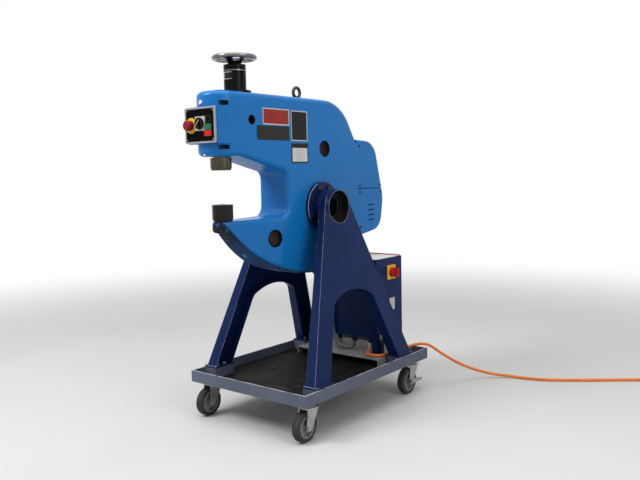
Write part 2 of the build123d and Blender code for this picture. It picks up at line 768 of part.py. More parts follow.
def make_cavity():
    front = TOOL_AXIS - FRAME_HALF + NOSE_WALL
    top = FRAME_TOP - TOP_WALL
    throat = THROAT_WALL + THROAT_WALL_THICK
    floor = KEEL[1] + FLOOR_WALL - THROAT_WALL_THICK
    guide_floor = HEAD_BOTTOM + GUIDE_LENGTH
    points = [
        (front, guide_floor),
        (front, top),
        (SHOULDER_Y - SHOULDER_RADIUS / 2, top),
        (FRAME_BACK - BACK_LIP * 2, BACK_TOP - BACK_LIP),
        (FRAME_BACK + BACK_LIP, BACK_TOP - BACK_LIP),
        (FRAME_BACK + BACK_LIP, BACK_BOTTOM + BACK_LIP),
        (KEEL[0], floor),
        (throat + THROAT_WALL_THICK, floor),
        (throat, floor + THROAT_WALL_THICK),
        (throat, THROAT_TOP + THROAT_TOP_RADIUS),
        (FULCRUM_Y, HEAD_BOTTOM + THROAT_TOP_RADIUS),
        (TOOL_AXIS + RAM_RADIUS, HEAD_BOTTOM + THROAT_TOP_RADIUS),
    ]
    return slab_x(outline(points, 0), -CAVITY_HALF, CAVITY_HALF)


def make_c_frame():
    body = make_casting_body()
    casting = body + make_jaw(body)
    casting += nose_of(rounded_half(FRAME_HALF, HEAD_BOTTOM, FRAME_TOP, FRAME_EDGE))
    casting += nose_of(rounded_half(JAW_NOSE_RADIUS, JAW_NOSE_BOTTOM, JAW_TOP, JAW_EDGE))
    casting += make_panel_band()
    casting -= make_cavity()
    casting -= rod_x(BEARING_RADIUS, -FRAME_HALF, FRAME_HALF, ECCENTRIC_Y, ECCENTRIC_Z)
    casting -= rod_x(ACCESS_RADIUS, -FRAME_HALF, FRAME_HALF, FULCRUM_Y, FULCRUM_Z)
    casting -= rod_x(TRUNNION_BORE, -FRAME_HALF, FRAME_HALF, 0, 0)
    plug_seat = rod_x(JAW_PLUG_RADIUS, FRAME_HALF - JAW_PLUG_DEPTH, FRAME_HALF, *JAW_PLUG)
    casting = casting - plug_seat - mirrored(plug_seat)
    guide_radius = RAM_RADIUS + GUIDE_WALL
    casting -= rod_z(guide_radius, HEAD_BOTTOM, HEAD_BOTTOM + GUIDE_LENGTH, 0, TOOL_AXIS)
    upper_face = UPPER_HOLDER_RADIUS + SPOT_FACE_EDGE
    casting -= rod_z(upper_face, HEAD_BOTTOM - HOLDER_GAP, HEAD_BOTTOM, 0, TOOL_AXIS)
    lower_face = LOWER_HOLDER_RADIUS + SPOT_FACE_EDGE
    casting -= rod_z(lower_face, JAW_TOP, LOWER_HOLDER_TOP, 0, TOOL_AXIS)
    spindle_room = SPINDLE_RADIUS + SPINDLE_ROOM
    casting -= rod_z(spindle_room, FRAME_TOP - TOP_WALL * 2, FRAME_TOP, 0, FULCRUM_Y)
    return casting


# Rocker drive


def make_ram_guide():
    top = HEAD_BOTTOM + GUIDE_LENGTH
    bush = rod_z(RAM_RADIUS + GUIDE_WALL - SEAT_FIT, HEAD_BOTTOM, top, 0, TOOL_AXIS)
    return bush - rod_z(RAM_RADIUS + RUN_FIT, HEAD_BOTTOM, top, 0, TOOL_AXIS)


def make_ram():
    return rod_z(RAM_RADIUS, HEAD_BOTTOM - HOLDER_GAP, LEVER_NOSE - NOSE_GAP, 0, TOOL_AXIS)


def make_fulcrum_block():
    front = FULCRUM_Y - FULCRUM_LENGTH / 2
    rear = FULCRUM_Y + FULCRUM_LENGTH / 2
    low = FULCRUM_Z - FULCRUM_PIN_RADIUS * 2
    yoke = block(-FULCRUM_HALF, FULCRUM_HALF, front, rear, low, FULCRUM_TOP)
    inner = FULCRUM_HALF - FULCRUM_CHEEK
    yoke -= block(-inner, inner, front, rear, low, FULCRUM_TOP - FULCRUM_BRIDGE)
    yoke -= rod_x(FULCRUM_PIN_RADIUS + SEAT_FIT, -FULCRUM_HALF, FULCRUM_HALF, FULCRUM_Y, FULCRUM_Z)
    yoke -= rod_z(SPINDLE_RADIUS + RUN_FIT, FULCRUM_TOP - FULCRUM_BRIDGE, FULCRUM_TOP, 0, FULCRUM_Y)
    pin = rod_x(FULCRUM_PIN_RADIUS, -FULCRUM_HALF, FULCRUM_HALF, FULCRUM_Y, FULCRUM_Z)
    return [yoke, pin]


def make_rocker_lever():
    sweep = ECCENTRIC_RADIUS + ECCENTRIC_THROW
    slot = sweep + FORK_ROOM
    tip = ECCENTRIC_Y + sweep + FORK_ROOM - FORK_TINE / 2
    root = ECCENTRIC_Y - slot - FORK_TINE
    nose_front = TOOL_AXIS - RAM_RADIUS
    nose_rear = TOOL_AXIS + RAM_RADIUS + NOSE_GAP
    points = [
        (nose_front, LEVER_NOSE),
        (nose_front, LEVER_NOSE + LEVER_NOSE_HEIGHT),
        (FULCRUM_Y, FULCRUM_Z + LEVER_BACK - NOSE_GAP),
        (root, ECCENTRIC_Z + slot + FORK_TINE),
        (tip, ECCENTRIC_Z + slot + FORK_TINE),
        (tip, ECCENTRIC_Z - slot - FORK_TINE),
        (root, ECCENTRIC_Z - slot - FORK_TINE),
        (FULCRUM_Y + LEVER_BACK / 2, FULCRUM_Z - LEVER_BACK),
        (nose_rear, LEVER_NOSE),
    ]
    lever = slab_x(outline(points, 0), -LEVER_HALF, LEVER_HALF)
    lever -= block(-LEVER_HALF, LEVER_HALF, ECCENTRIC_Y - slot, tip, ECCENTRIC_Z - slot, ECCENTRIC_Z + slot)
    return lever - rod_x(FULCRUM_PIN_RADIUS + RUN_FIT, -LEVER_HALF, LEVER_HALF, FULCRUM_Y, FULCRUM_Z)


def make_eccentric_shaft():
    half = FRAME_HALF - BEARING_RECESS - JOURNAL_SETBACK
    shaft = rod_x(JOURNAL_RADIUS, -half, half, ECCENTRIC_Y, ECCENTRIC_Z)
    shaft += rod_x(ECCENTRIC_RADIUS, -ECCENTRIC_HALF, ECCENTRIC_HALF, ECCENTRIC_Y + ECCENTRIC_THROW, ECCENTRIC_Z)
    near = BELT_X - PULLEY_WIDTH / 2
    shaft += rod_x(BELT_WHEEL_RADIUS, near, near + PULLEY_WIDTH, ECCENTRIC_Y, ECCENTRIC_Z)
    return shaft


def make_eccentric_bearings():
    outer = FRAME_HALF - BEARING_RECESS
    ring = rod_x(BEARING_RADIUS - SEAT_FIT, outer - BEARING_WIDTH, outer, ECCENTRIC_Y, ECCENTRIC_Z)
    ring -= rod_x(JOURNAL_RADIUS + RUN_FIT, outer - BEARING_WIDTH, outer, ECCENTRIC_Y, ECCENTRIC_Z)
    return both_sides(ring)


def make_motor_body():
    half = COVER_HALF - COVER_SHEET - MOTOR_ROOM
    plate_back = FRAME_BACK + MOTOR_PLATE
    low = BACK_BOTTOM + MOTOR_ROOM * 2
    motor = block(-half, half, FRAME_BACK, plate_back, low, MOTOR_PLATE_TOP)
    foot_low = MOTOR_Z - MOTOR_RADIUS
    for x_low in (MOTOR_REAR_X + MOTOR_FOOT / 2, MOTOR_FACE_X - MOTOR_FOOT * 1.5):
        motor += block(x_low, x_low + MOTOR_FOOT, plate_back, MOTOR_Y, foot_low, MOTOR_PLATE_TOP)
    motor += rod_x(MOTOR_RADIUS, MOTOR_REAR_X, MOTOR_FACE_X, MOTOR_Y, MOTOR_Z)
    return motor - rod_x(MOTOR_SHAFT_RADIUS + RUN_FIT, 0, MOTOR_FACE_X, MOTOR_Y, MOTOR_Z)


def make_motor_shaft():
    near = BELT_X - PULLEY_WIDTH / 2
    shaft = rod_x(MOTOR_SHAFT_RADIUS, FACE_GAP, near + PULLEY_WIDTH, MOTOR_Y, MOTOR_Z)
    return shaft + rod_x(MOTOR_PULLEY_RADIUS, near, near + PULLEY_WIDTH, MOTOR_Y, MOTOR_Z)


def belt_loop(room):
    wheel = Pos(ECCENTRIC_Y, ECCENTRIC_Z) * Circle(BELT_WHEEL_RADIUS + room)
    pulley = Pos(MOTOR_Y, MOTOR_Z) * Circle(MOTOR_PULLEY_RADIUS + room)
    return make_hull(wheel.edges() + pulley.edges())


def make_drive_belt():
    ring = belt_loop(FACE_GAP + BELT_THICK) - belt_loop(FACE_GAP)
    return slab_x(ring, BELT_X - BELT_WIDTH / 2, BELT_X + BELT_WIDTH / 2)


# Tool holders and adjustment


def tool_bore():
    wide = TOOL_BORE_RADIUS + TOOL_BORE_CHAMFER
    mouth = Pos(0, 0, TOOL_BORE_CHAMFER / 2) * Cone(wide, TOOL_BORE_RADIUS, TOOL_BORE_CHAMFER)
    wall = rod_z(TOOL_BORE_RADIUS, TOOL_BORE_CHAMFER, TOOL_BORE_DEPTH, 0, 0)
    point = Pos(0, 0, TOOL_BORE_DEPTH + TOOL_BORE_POINT / 2) * Cone(TOOL_BORE_RADIUS, 0, TOOL_BORE_POINT)
    return mouth + wall + point


def make_upper_tool_holder():
    top = HEAD_BOTTOM - HOLDER_GAP
    lip = UPPER_HOLDER_BOTTOM + HOLDER_RIM_HEIGHT
    holder = rod_z(UPPER_HOLDER_RADIUS, lip, top, 0, TOOL_AXIS)
    holder += rod_z(UPPER_HOLDER_RADIUS - HOLDER_RIM, UPPER_HOLDER_BOTTOM, lip, 0, TOOL_AXIS)
    return holder - Pos(0, TOOL_AXIS, UPPER_HOLDER_BOTTOM) * tool_bore()


def make_lower_tool_holder():
    collar = JAW_TOP + HOLDER_RIM_HEIGHT
    holder = rod_z(LOWER_HOLDER_RADIUS, collar, LOWER_HOLDER_TOP, 0, TOOL_AXIS)
    holder += rod_z(LOWER_HOLDER_RADIUS - HOLDER_RIM, JAW_TOP, collar, 0, TOOL_AXIS)
    return holder - Pos(0, TOOL_AXIS, LOWER_HOLDER_TOP) * Rot(180, 0, 0) * tool_bore()


def make_column():
    flange_top = FRAME_TOP + COLUMN_FLANGE
    column = rod_z(COLUMN_FLANGE_RADIUS, FRAME_TOP, flange_top, 0, FULCRUM_Y)
    column += rod_z(COLUMN_RADIUS, flange_top, COLUMN_TOP, 0, FULCRUM_Y)
    column -= rod_z(COLUMN_BORE, FRAME_TOP, COLUMN_TOP - COLUMN_CAP, 0, FULCRUM_Y)
    return column - rod_z(SPINDLE_RADIUS + RUN_FIT, FRAME_TOP, COLUMN_TOP, 0, FULCRUM_Y)


def make_spindle():
    low = FULCRUM_TOP - FULCRUM_BRIDGE + SPINDLE_ROOM
    high = COLUMN_TOP + FACE_GAP + WHEEL_HUB_HEIGHT
    spindle = rod_z(SPINDLE_RADIUS, low, high, 0, FULCRUM_Y)
    collar_top = COLUMN_TOP - COLUMN_CAP - FACE_GAP
    return spindle + rod_z(SPINDLE_COLLAR_RADIUS, collar_top - SPINDLE_COLLAR, collar_top, 0, FULCRUM_Y)


def make_handwheel():
    hub_low = COLUMN_TOP + FACE_GAP
    hub_middle = hub_low + WHEEL_HUB_HEIGHT / 2
    wheel = rod_z(WHEEL_HUB_RADIUS, hub_low, hub_low + WHEEL_HUB_HEIGHT, 0, 0)
    wheel += Pos(0, 0, WHEEL_RIM_CENTRE) * Torus(WHEEL_RIM_RADIUS, WHEEL_RIM_HALF)
    rise = WHEEL_RIM_CENTRE - hub_middle
    tilt = degrees(atan(rise / WHEEL_RIM_RADIUS))
    length = WHEEL_RIM_RADIUS / cos(radians(tilt))
    spoke = Rot(0, -tilt, 0) * Pos(length / 2, 0, 0) * Box(length, WHEEL_SPOKE_WIDTH, WHEEL_SPOKE_THICK)
    for index in range(WHEEL_SPOKES):
        wheel += Rot(0, 0, index * 360 / WHEEL_SPOKES) * Pos(0, 0, hub_middle) * spoke
    wheel -= rod_z(SPINDLE_RADIUS + SEAT_FIT, hub_low, hub_low + WHEEL_HUB_HEIGHT, 0, 0)
    return Pos(0, FULCRUM_Y, 0) * wheel


def make_eyebolt():
    shoulder_top = FRAME_TOP + EYE_SHOULDER
    eye = rod_z(EYE_SHOULDER_RADIUS, FRAME_TOP, shoulder_top, 0, EYE_Y)
    ring = Rot(0, 90, 0) * Torus(EYE_RADIUS, EYE_BAR)
    ring_middle = shoulder_top - EYE_SINK + EYE_BAR + EYE_RADIUS
    return eye + Pos(0, EYE_Y, ring_middle) * ring


# Rear cover


def cover_outline():
    start = FRAME_BACK + COVER_GAP
    corners = [
        (start, COVER_TOP, 0),
        (FRAME_BACK + COVER_SHOULDER[0], COVER_SHOULDER[1], COVER_SHOULDER_RADIUS),
        (FRAME_BACK + COVER_BACK[0], COVER_BACK[1], COVER_BACK_RADIUS),
        (FRAME_BACK + COVER_HEEL[0], COVER_HEEL[1], COVER_HEEL_RADIUS),
        (start, COVER_BOTTOM, 0),
    ]
    return outline([corner[:2] for corner in corners], [corner[2] for corner in corners])


def make_cover_shell():
    start = FRAME_BACK + COVER_GAP
    face = cover_outline()
    shell = slab_x(face, -COVER_HALF, COVER_HALF)
    rims = []
    for edge in shell.edges():
        middle = edge.center()
        if abs(abs(middle.X) - COVER_HALF) < SEAT_FIT and middle.Y > start + SEAT_FIT:
            rims.append(edge)
    shell = fillet(rims, COVER_EDGE)
    inner = COVER_HALF - COVER_SHEET
    hollow = offset(face, -COVER_SHEET, kind=Kind.INTERSECTION)
    shell -= Pos(0, -COVER_SHEET, 0) * slab_x(hollow, -inner, inner)
    return shell - slab_x(hollow, -inner, inner)


def make_rear_cover_upper():
    low = COVER_SEAM + COVER_SEAM_GAP / 2
    reach = FRAME_BACK + COVER_BACK[0]
    return make_cover_shell() & block(-COVER_HALF, COVER_HALF, FRAME_BACK, reach, low, COVER_TOP)


def make_rear_cover_lower():
    high = COVER_SEAM - COVER_SEAM_GAP / 2
    reach = FRAME_BACK + COVER_BACK[0]
    cover = make_cover_shell() & block(-COVER_HALF, COVER_HALF, FRAME_BACK, reach, COVER_BOTTOM, high)
    y = FRAME_BACK + LOUVRE_REACH
    for index in range(LOUVRE_COUNT):
        z = LOUVRE_TOP_Z - index * LOUVRE_PITCH
        cover -= block(
            -COVER_HALF, COVER_HALF, y - LOUVRE_LENGTH / 2, y + LOUVRE_LENGTH / 2,
            z - LOUVRE_HEIGHT / 2, z + LOUVRE_HEIGHT / 2,
        )
    return cover


# Control panel


def button_levels():
    middle = PANEL_Z - BUTTON_DROP
    return {"green": middle + BUTTON_HEIGHT / 2 + BUTTON_WEB / 2, "red": middle - BUTTON_HEIGHT / 2 - BUTTON_WEB / 2}


def button_well(z, y_low, y_high):
    half_width = BUTTON_WIDTH / 2 + CONTROL_FIT
    half_height = BUTTON_HEIGHT / 2 + CONTROL_FIT
    return block(BUTTON_X - half_width, BUTTON_X + half_width, y_low, y_high, z - half_height, z + half_height)


def cut_controls(solid):
    front = PANEL_FRONT - ESTOP_RING
    solid -= rod_y(ESTOP_NECK_RADIUS + CONTROL_FIT, front, BAND_FRONT, ESTOP_X, PANEL_Z)
    selector_z = PANEL_Z + SELECTOR_RISE
    solid -= rod_y(ESTOP_NECK_RADIUS + CONTROL_FIT, front, BAND_FRONT, SELECTOR_X, selector_z)
    for z in button_levels().values():
        solid -= button_well(z, front, BAND_FRONT)
    return solid


def make_panel_housing():
    housing = Pos(0, (PANEL_FRONT + BAND_FRONT) / 2, PANEL_Z) * Box(PANEL_WIDTH, PANEL_DEPTH, PANEL_HEIGHT)
    housing = fillet(housing.edges().filter_by(Axis.Y), PANEL_CORNER)
    recess = Pos(0, PANEL_FRONT + PLATE_THICK / 2, PANEL_Z)
    room = 2 * SEAT_FIT
    housing -= recess * Box(PLATE_WIDTH + room, PLATE_THICK, PLATE_HEIGHT + room)
    return cut_controls(housing)


def make_panel_plate():
    plate = Pos(0, PANEL_FRONT + PLATE_THICK / 2, PANEL_Z) * Box(PLATE_WIDTH, PLATE_THICK, PLATE_HEIGHT)
    return cut_controls(plate)


def make_control_plates():
    ring = rod_y(ESTOP_RING_RADIUS, PANEL_FRONT - ESTOP_RING, PANEL_FRONT, ESTOP_X, PANEL_Z)
    plate = Pos(SELECTOR_X, PANEL_FRONT - CONTROL_PLATE / 2, PANEL_Z + SELECTOR_RISE)
    plate = plate * Box(SELECTOR_PLATE, CONTROL_PLATE, SELECTOR_PLATE)
    plate -= rod_y(ESTOP_RING_RADIUS + CONTROL_FIT, PANEL_FRONT - ESTOP_RING, PANEL_FRONT, ESTOP_X, PANEL_Z)
    for z in button_levels().values():
        plate -= button_well(z, PANEL_FRONT - ESTOP_RING, PANEL_FRONT)
    return [cut_controls(ring), cut_controls(plate)]


def make_estop_button():
    back = PANEL_FRONT - ESTOP_RING - ESTOP_TRAVEL - FACE_GAP
    head = rod_y(ESTOP_HEAD_RADIUS, back - ESTOP_HEAD, back, ESTOP_X, PANEL_Z)
    head = fillet(head.edges().group_by(Axis.Y)[0], ESTOP_HEAD / 3)
    neck_end = BAND_FRONT - ESTOP_TRAVEL - FACE_GAP
    return head + rod_y(ESTOP_NECK_RADIUS, back, neck_end, ESTOP_X, PANEL_Z)


def make_selector_knob():
    z = PANEL_Z + SELECTOR_RISE
    back = PANEL_FRONT - CONTROL_PLATE - FACE_GAP
    knob = rod_y(SELECTOR_RADIUS, back - SELECTOR_DEPTH / 2, back, SELECTOR_X, z)
    grip = Pos(SELECTOR_X, back - SELECTOR_DEPTH / 2, z)
    knob += grip * Box(SELECTOR_RADIUS / 2, SELECTOR_DEPTH, SELECTOR_RADIUS * 2 - SELECTOR_DEPTH / 2)
    return knob + rod_y(ESTOP_NECK_RADIUS, back, BAND_FRONT - FACE_GAP, SELECTOR_X, z)


def make_button(z):
    front = PANEL_FRONT - BUTTON_DEPTH
    back = BAND_FRONT - BUTTON_TRAVEL - FACE_GAP
    button = Pos(BUTTON_X, (front + back) / 2, z) * Box(BUTTON_WIDTH, back - front, BUTTON_HEIGHT)
    return fillet(button.edges().filter_by(Axis.Y), BUTTON_WEB)


# Electric cabinet


def hinge_levels():
    return (CABINET_BOTTOM + HINGE_INSET, CABINET_TOP - HINGE_INSET)


def make_cabinet_box():
    box = block(-CABINET_HALF, CABINET_HALF, CABINET_FRONT, CABINET_REAR, CABINET_BOTTOM, CABINET_TOP)
    inner = CABINET_HALF - CABINET_SHEET
    box -= block(
        -inner, inner, CABINET_FRONT + CABINET_SHEET, CABINET_REAR,
        CABINET_BOTTOM + CABINET_SHEET, CABINET_TOP - CABINET_SHEET,
    )
    box -= rod_z(CONDUIT_RADIUS, CABINET_BOTTOM, CABINET_BOTTOM + CABINET_SHEET, CONDUIT_EXIT_X, CONDUIT_EXIT_Y)
    box -= rod_z(CORD_RADIUS, CABINET_BOTTOM, CABINET_BOTTOM + CABINET_SHEET, CORD_EXIT_X, CORD_EXIT_Y)
    switch_y = CABINET_REAR - SWITCH_FROM_REAR
    switch_z = CABINET_TOP - SWITCH_FROM_TOP
    box -= rod_x(SWITCH_NECK_RADIUS, inner, CABINET_HALF, switch_y, switch_z)
    hinge_x = -CABINET_HALF - HINGE_OFFSET
    hinge_y = CABINET_REAR + FACE_GAP + DOOR_SHEET / 2
    for z in hinge_levels():
        foot = z - HINGE_LENGTH / 2
        knuckle_low = foot - HINGE_LENGTH / 4
        leaf = block(hinge_x, -CABINET_HALF, CABINET_REAR - HINGE_LENGTH / 2, hinge_y, knuckle_low, foot)
        box += leaf + rod_z(HINGE_RADIUS, knuckle_low, foot, hinge_x, hinge_y)
        box += rod_z(HINGE_PIN_RADIUS, knuckle_low, z + HINGE_LENGTH / 2, hinge_x, hinge_y)
    return box


def make_cabinet_door():
    front = CABINET_REAR + FACE_GAP
    door = block(-CABINET_HALF, CABINET_HALF, front, front + DOOR_SHEET, CABINET_BOTTOM, CABINET_TOP)
    hinge_x = -CABINET_HALF - HINGE_OFFSET
    hinge_y = front + DOOR_SHEET / 2
    for z in hinge_levels():
        low = z - HINGE_LENGTH / 2 + FACE_GAP
        high = z + HINGE_LENGTH / 2
        door += block(hinge_x, -CABINET_HALF, front, front + DOOR_SHEET, low, high)
        door += rod_z(HINGE_RADIUS, low, high, hinge_x, hinge_y)
        door -= rod_z(HINGE_PIN_RADIUS + RUN_FIT, low, high, hinge_x, hinge_y)
        door -= block(
            hinge_x - HINGE_RADIUS, -CABINET_HALF + HINGE_RADIUS, front - HINGE_RADIUS, front + HINGE_RADIUS * 2,
            low - HINGE_LENGTH / 4 - 2 * FACE_GAP, low,
        )
    return door


def make_cabinet_feet():
    feet = []
    inner = CABINET_HALF - FOOT_STRAP_WIDTH
    strap_top = CABINET_BOTTOM + FOOT_STRAP_RISE
    strap_front = CABINET_FRONT - FOOT_STRAP
    toe = CABINET_FRONT + FOOT_STRAP_WIDTH
    front_foot = block(inner, CABINET_HALF, strap_front, CABINET_FRONT, SHELF_TOP, strap_top)
    front_foot += block(inner, CABINET_HALF, strap_front, toe, SHELF_TOP, SHELF_TOP + FOOT_STRAP)
    feet += both_sides(front_foot)
    heel = CABINET_REAR - FOOT_STRAP_WIDTH
    rear_foot = block(inner, CABINET_HALF, heel, heel + FOOT_STRAP, SHELF_TOP, CABINET_BOTTOM)
    for level in (SHELF_TOP, CABINET_BOTTOM - FOOT_STRAP):
        rear_foot += block(inner, CABINET_HALF, heel, CABINET_REAR, level, level + FOOT_STRAP)
    feet += both_sides(rear_foot)
    return feet


def make_switchgear():
    wall = CABINET_FRONT + CABINET_SHEET
    plate_front = wall + GEAR_STANDOFF
    plate_back = plate_front + GEAR_PLATE
    half = CABINET_HALF - GEAR_STANDOFF
    low = CABINET_BOTTOM + GEAR_STANDOFF * 2
    high = CABINET_TOP - GEAR_STANDOFF
    gear = block(-half, half, plate_front, plate_back, low, high)
    for x in (-half + GEAR_STANDOFF / 2, half - GEAR_STANDOFF / 2):
        for z in (low + GEAR_STANDOFF / 2, high - GEAR_STANDOFF / 2):
            gear += rod_y(GEAR_STANDOFF / 4, wall, plate_front, x, z)
    pitch = 2 * half / GEAR_COUNT
    for index in range(GEAR_COUNT):
        x_low = -half + (index + 0.15) * pitch
        gear += block(x_low, x_low + pitch * 0.7, plate_back, plate_back + GEAR_DEPTH, low + pitch, high - pitch)
    return gear


def make_switch_plate():
    y = CABINET_REAR - SWITCH_FROM_REAR
    z = CABINET_TOP - SWITCH_FROM_TOP
    face = CABINET_HALF + SWITCH_PLATE_THICK
    half = SWITCH_PLATE / 2
    plate = block(CABINET_HALF, face, y - half, y + half, z - half, z + half)
    plate = fillet(plate.edges().filter_by(Axis.X), SWITCH_PLATE_THICK)
    return plate - rod_x(SWITCH_NECK_RADIUS, CABINET_HALF, face, y, z)


def make_switch_knob():
    y = CABINET_REAR - SWITCH_FROM_REAR
    z = CABINET_TOP - SWITCH_FROM_TOP
    face = CABINET_HALF + SWITCH_PLATE_THICK + FACE_GAP
    knob = rod_x(SWITCH_RADIUS, face, face + SWITCH_DEPTH / 2, y, z)
    grip = Pos(face + SWITCH_DEPTH / 2, y, z)
    knob += grip * Box(SWITCH_DEPTH, SWITCH_RADIUS / 2, SWITCH_RADIUS * 2 - SWITCH_NECK_RADIUS / 2)
    return knob + rod_x(SWITCH_NECK_RADIUS - CONTROL_FIT, CABINET_HALF - CABINET_SHEET, face, y, z)


# Cables


def gland(radius, bore):
    sleeve = rod_z(radius, GLAND_LENGTH / 2, GLAND_LENGTH, 0, 0)
    sleeve += Pos(0, 0, GLAND_LENGTH / 4) * Cone(bore + GLAND_TIP, radius, GLAND_LENGTH / 2)
    return sleeve - rod_z(bore + SEAT_FIT, 0, GLAND_LENGTH, 0, 0)


def make_cable_glands():
    below = CABINET_BOTTOM - GLAND_LENGTH
    conduit_gland = gland(CONDUIT_RADIUS + GLAND_WALL, CONDUIT_RADIUS)
    cord_gland = gland(CORD_RADIUS + GLAND_WALL, CORD_RADIUS)
    cap = rod_x(HUB_MOUTH_RADIUS - SEAT_FIT, -HUB_FACE, -STAND_HUB_X, TRUNNION_Y, TRUNNION_Z)
    cap -= rod_x(CONDUIT_RADIUS + SEAT_FIT, -HUB_FACE, -STAND_HUB_X, TRUNNION_Y, TRUNNION_Z)
    hub_gland = Pos(-HUB_FACE - GLAND_LENGTH, TRUNNION_Y, TRUNNION_Z) * Rot(0, 90, 0)
    return [
        Pos(CONDUIT_EXIT_X, CONDUIT_EXIT_Y, below) * conduit_gland,
        Pos(CORD_EXIT_X, CORD_EXIT_Y, below) * cord_gland,
        cap + hub_gland * conduit_gland,
    ]


def corner_radii(points):
    radii = []
    for before, here, after in zip(points, points[1:], points[2:]):
        run_in = Vector(*here) - Vector(*before)
        run_out = Vector(*after) - Vector(*here)
        half_turn = radians(run_in.get_angle(run_out)) / 2
        radii.append(0.45 * min(run_in.length, run_out.length) / tan(half_turn))
    return radii


def tube(name, path, radius):
    section = Plane(origin=path @ 0, z_dir=path % 0) * Circle(radius)
    solid = sweep(section, path=path)
    share = solid.volume / (pi * radius**2 * path.length)
    print(f"{name}: length {path.length:.1f} mm, volume share {share:.4f}")
    return solid


def routed_tube(name, points, radius):
    radii = corner_radii(points)
    print(f"{name}: radii", ", ".join(f"{value:.0f}" for value in radii))
    return tube(name, FilletPolyline(*points, radius=radii), radius)


def conduit_points():
    return [
        (-STAND_HUB_X, TRUNNION_Y, TRUNNION_Z),
        (-245, TRUNNION_Y, TRUNNION_Z),
        (-291, 10, 893),
        (-292, 100, 820),
        (-276, 168, 735),
        (-225, 206, 640),
        (-150, 216, 556),
        (-90, 215, 480),
        (-68, 216, 390),
        (-63, 219, 300),
        (-45, 226, 229),
        (-8, 240, 209),
        (30, 256, 213),
        (CONDUIT_EXIT_X, CONDUIT_EXIT_Y, 232),
        (CONDUIT_EXIT_X, CONDUIT_EXIT_Y, CABINET_BOTTOM),
    ]


def cord_points():
    lay = SHELF_TOP + CORD_RADIUS + CORD_LAY
    floor = CORD_RADIUS + CORD_LAY
    return [
        (CORD_EXIT_X, CORD_EXIT_Y, CABINET_BOTTOM - GLAND_LENGTH),
        (CORD_EXIT_X - 0.5, CORD_EXIT_Y - 2, 229),
        (138, 240, 213),
        (139, 222, lay),
        (153, 204, lay),
        (178, 194, lay),
        (205, 199, lay),
        (225, 220, lay),
        (231, 254, lay),
        (233, 300, lay),
        (238, 348, lay + 1),
        (258, 393, 213),
        (292, 419, 229),
        (338, 455, 228),
        (362, 511, 183),
        (383, 577, 139),
        (406, 652, 93),
        (446, 736, 51),
        (505, 813, 20),
        (580, 864, floor + 2),
        (665, 880, floor),
        (748, 908, floor),
        (860, 980, floor),
        (985, 1070, floor),
        (1100, 1153.2, floor),
        COIL_START,
    ]


def coil_turns():
    forward = Vector(*COIL_HEADING, 0).normalized()
    across = Vector(forward.Y, -forward.X, 0)
    low = Vector(*COIL_START)
    high = low + Vector(0, 0, COIL_PITCH)
    step = COIL_PITCH / 2
    inward = [COIL_OUTER - step * index for index in range(COIL_HALF_TURNS_IN)]
    climb = COIL_OUTER - step * COIL_HALF_TURNS_IN
    outward = [climb + step * (index + 1) for index in range(COIL_HALF_TURNS_OUT)]
    outward[-1] += COIL_LAST_EXTRA
    place = 0
    side = 1
    arcs = []
    base = low
    for index, radius in enumerate(inward + [climb] + outward):
        start = base + across * place
        place += side * 2 * radius
        if index == COIL_HALF_TURNS_IN:
            base = high
        end = base + across * place
        reach = (end - start).length / 2
        middle = (start + end) / 2 + forward * side * reach
        arcs.append(ThreePointArc(start, middle, end))
        side = -side
    tail_end = arcs[-1] @ 1 + forward * CORD_RADIUS * 2
    return arcs, Line(arcs[-1] @ 1, tail_end), forward


def make_cord_coil():
    arcs, tail, _ = coil_turns()
    path = Wire(list(arcs) + [tail])
    count = 600
    points = [path @ (index / count) for index in range(count + 1)]
    apart = int(6 * CORD_RADIUS / (path.length / count)) + 1
    least = path.length
    for first in range(count + 1):
        for second in range(first + apart, count + 1):
            least = min(least, (points[first] - points[second]).length)
    print(f"cord_coil: least gap to itself {least - 2 * CORD_RADIUS:.2f} mm")
    return tube("cord_coil", path, CORD_RADIUS)


def make_plug():
    _, tail, forward = coil_turns()
    seat = Plane(origin=tail @ 1, z_dir=forward)
    relief = Pos(0, 0, PLUG_TAIL / 2) * Cone(CORD_RADIUS + GLAND_TIP, PLUG_RADIUS - GLAND_TIP, PLUG_TAIL)
    body = relief + rod_z(PLUG_RADIUS, PLUG_TAIL, PLUG_TAIL + PLUG_LENGTH, 0, 0)
    front = PLUG_TAIL + PLUG_LENGTH
    body -= rod_z(PLUG_RADIUS - GLAND_TIP, front - PLUG_PIN_LENGTH, front, 0, 0)
    for index in range(PLUG_PIN_COUNT):
        angle = index * 2 * pi / PLUG_PIN_COUNT
        x = PLUG_PIN_CIRCLE * cos(angle)
        y = PLUG_PIN_CIRCLE * sin(angle)
        body += rod_z(PLUG_PIN_RADIUS, front - PLUG_PIN_LENGTH, front - PLUG_PIN_RADIUS, x, y)
    return seat * body


# Nodes


def tilted(solids):
    place = Pos(0, TRUNNION_Y, TRUNNION_Z)
    if isinstance(solids, list):
        return [place * solid for solid in solids]
    return place * solids


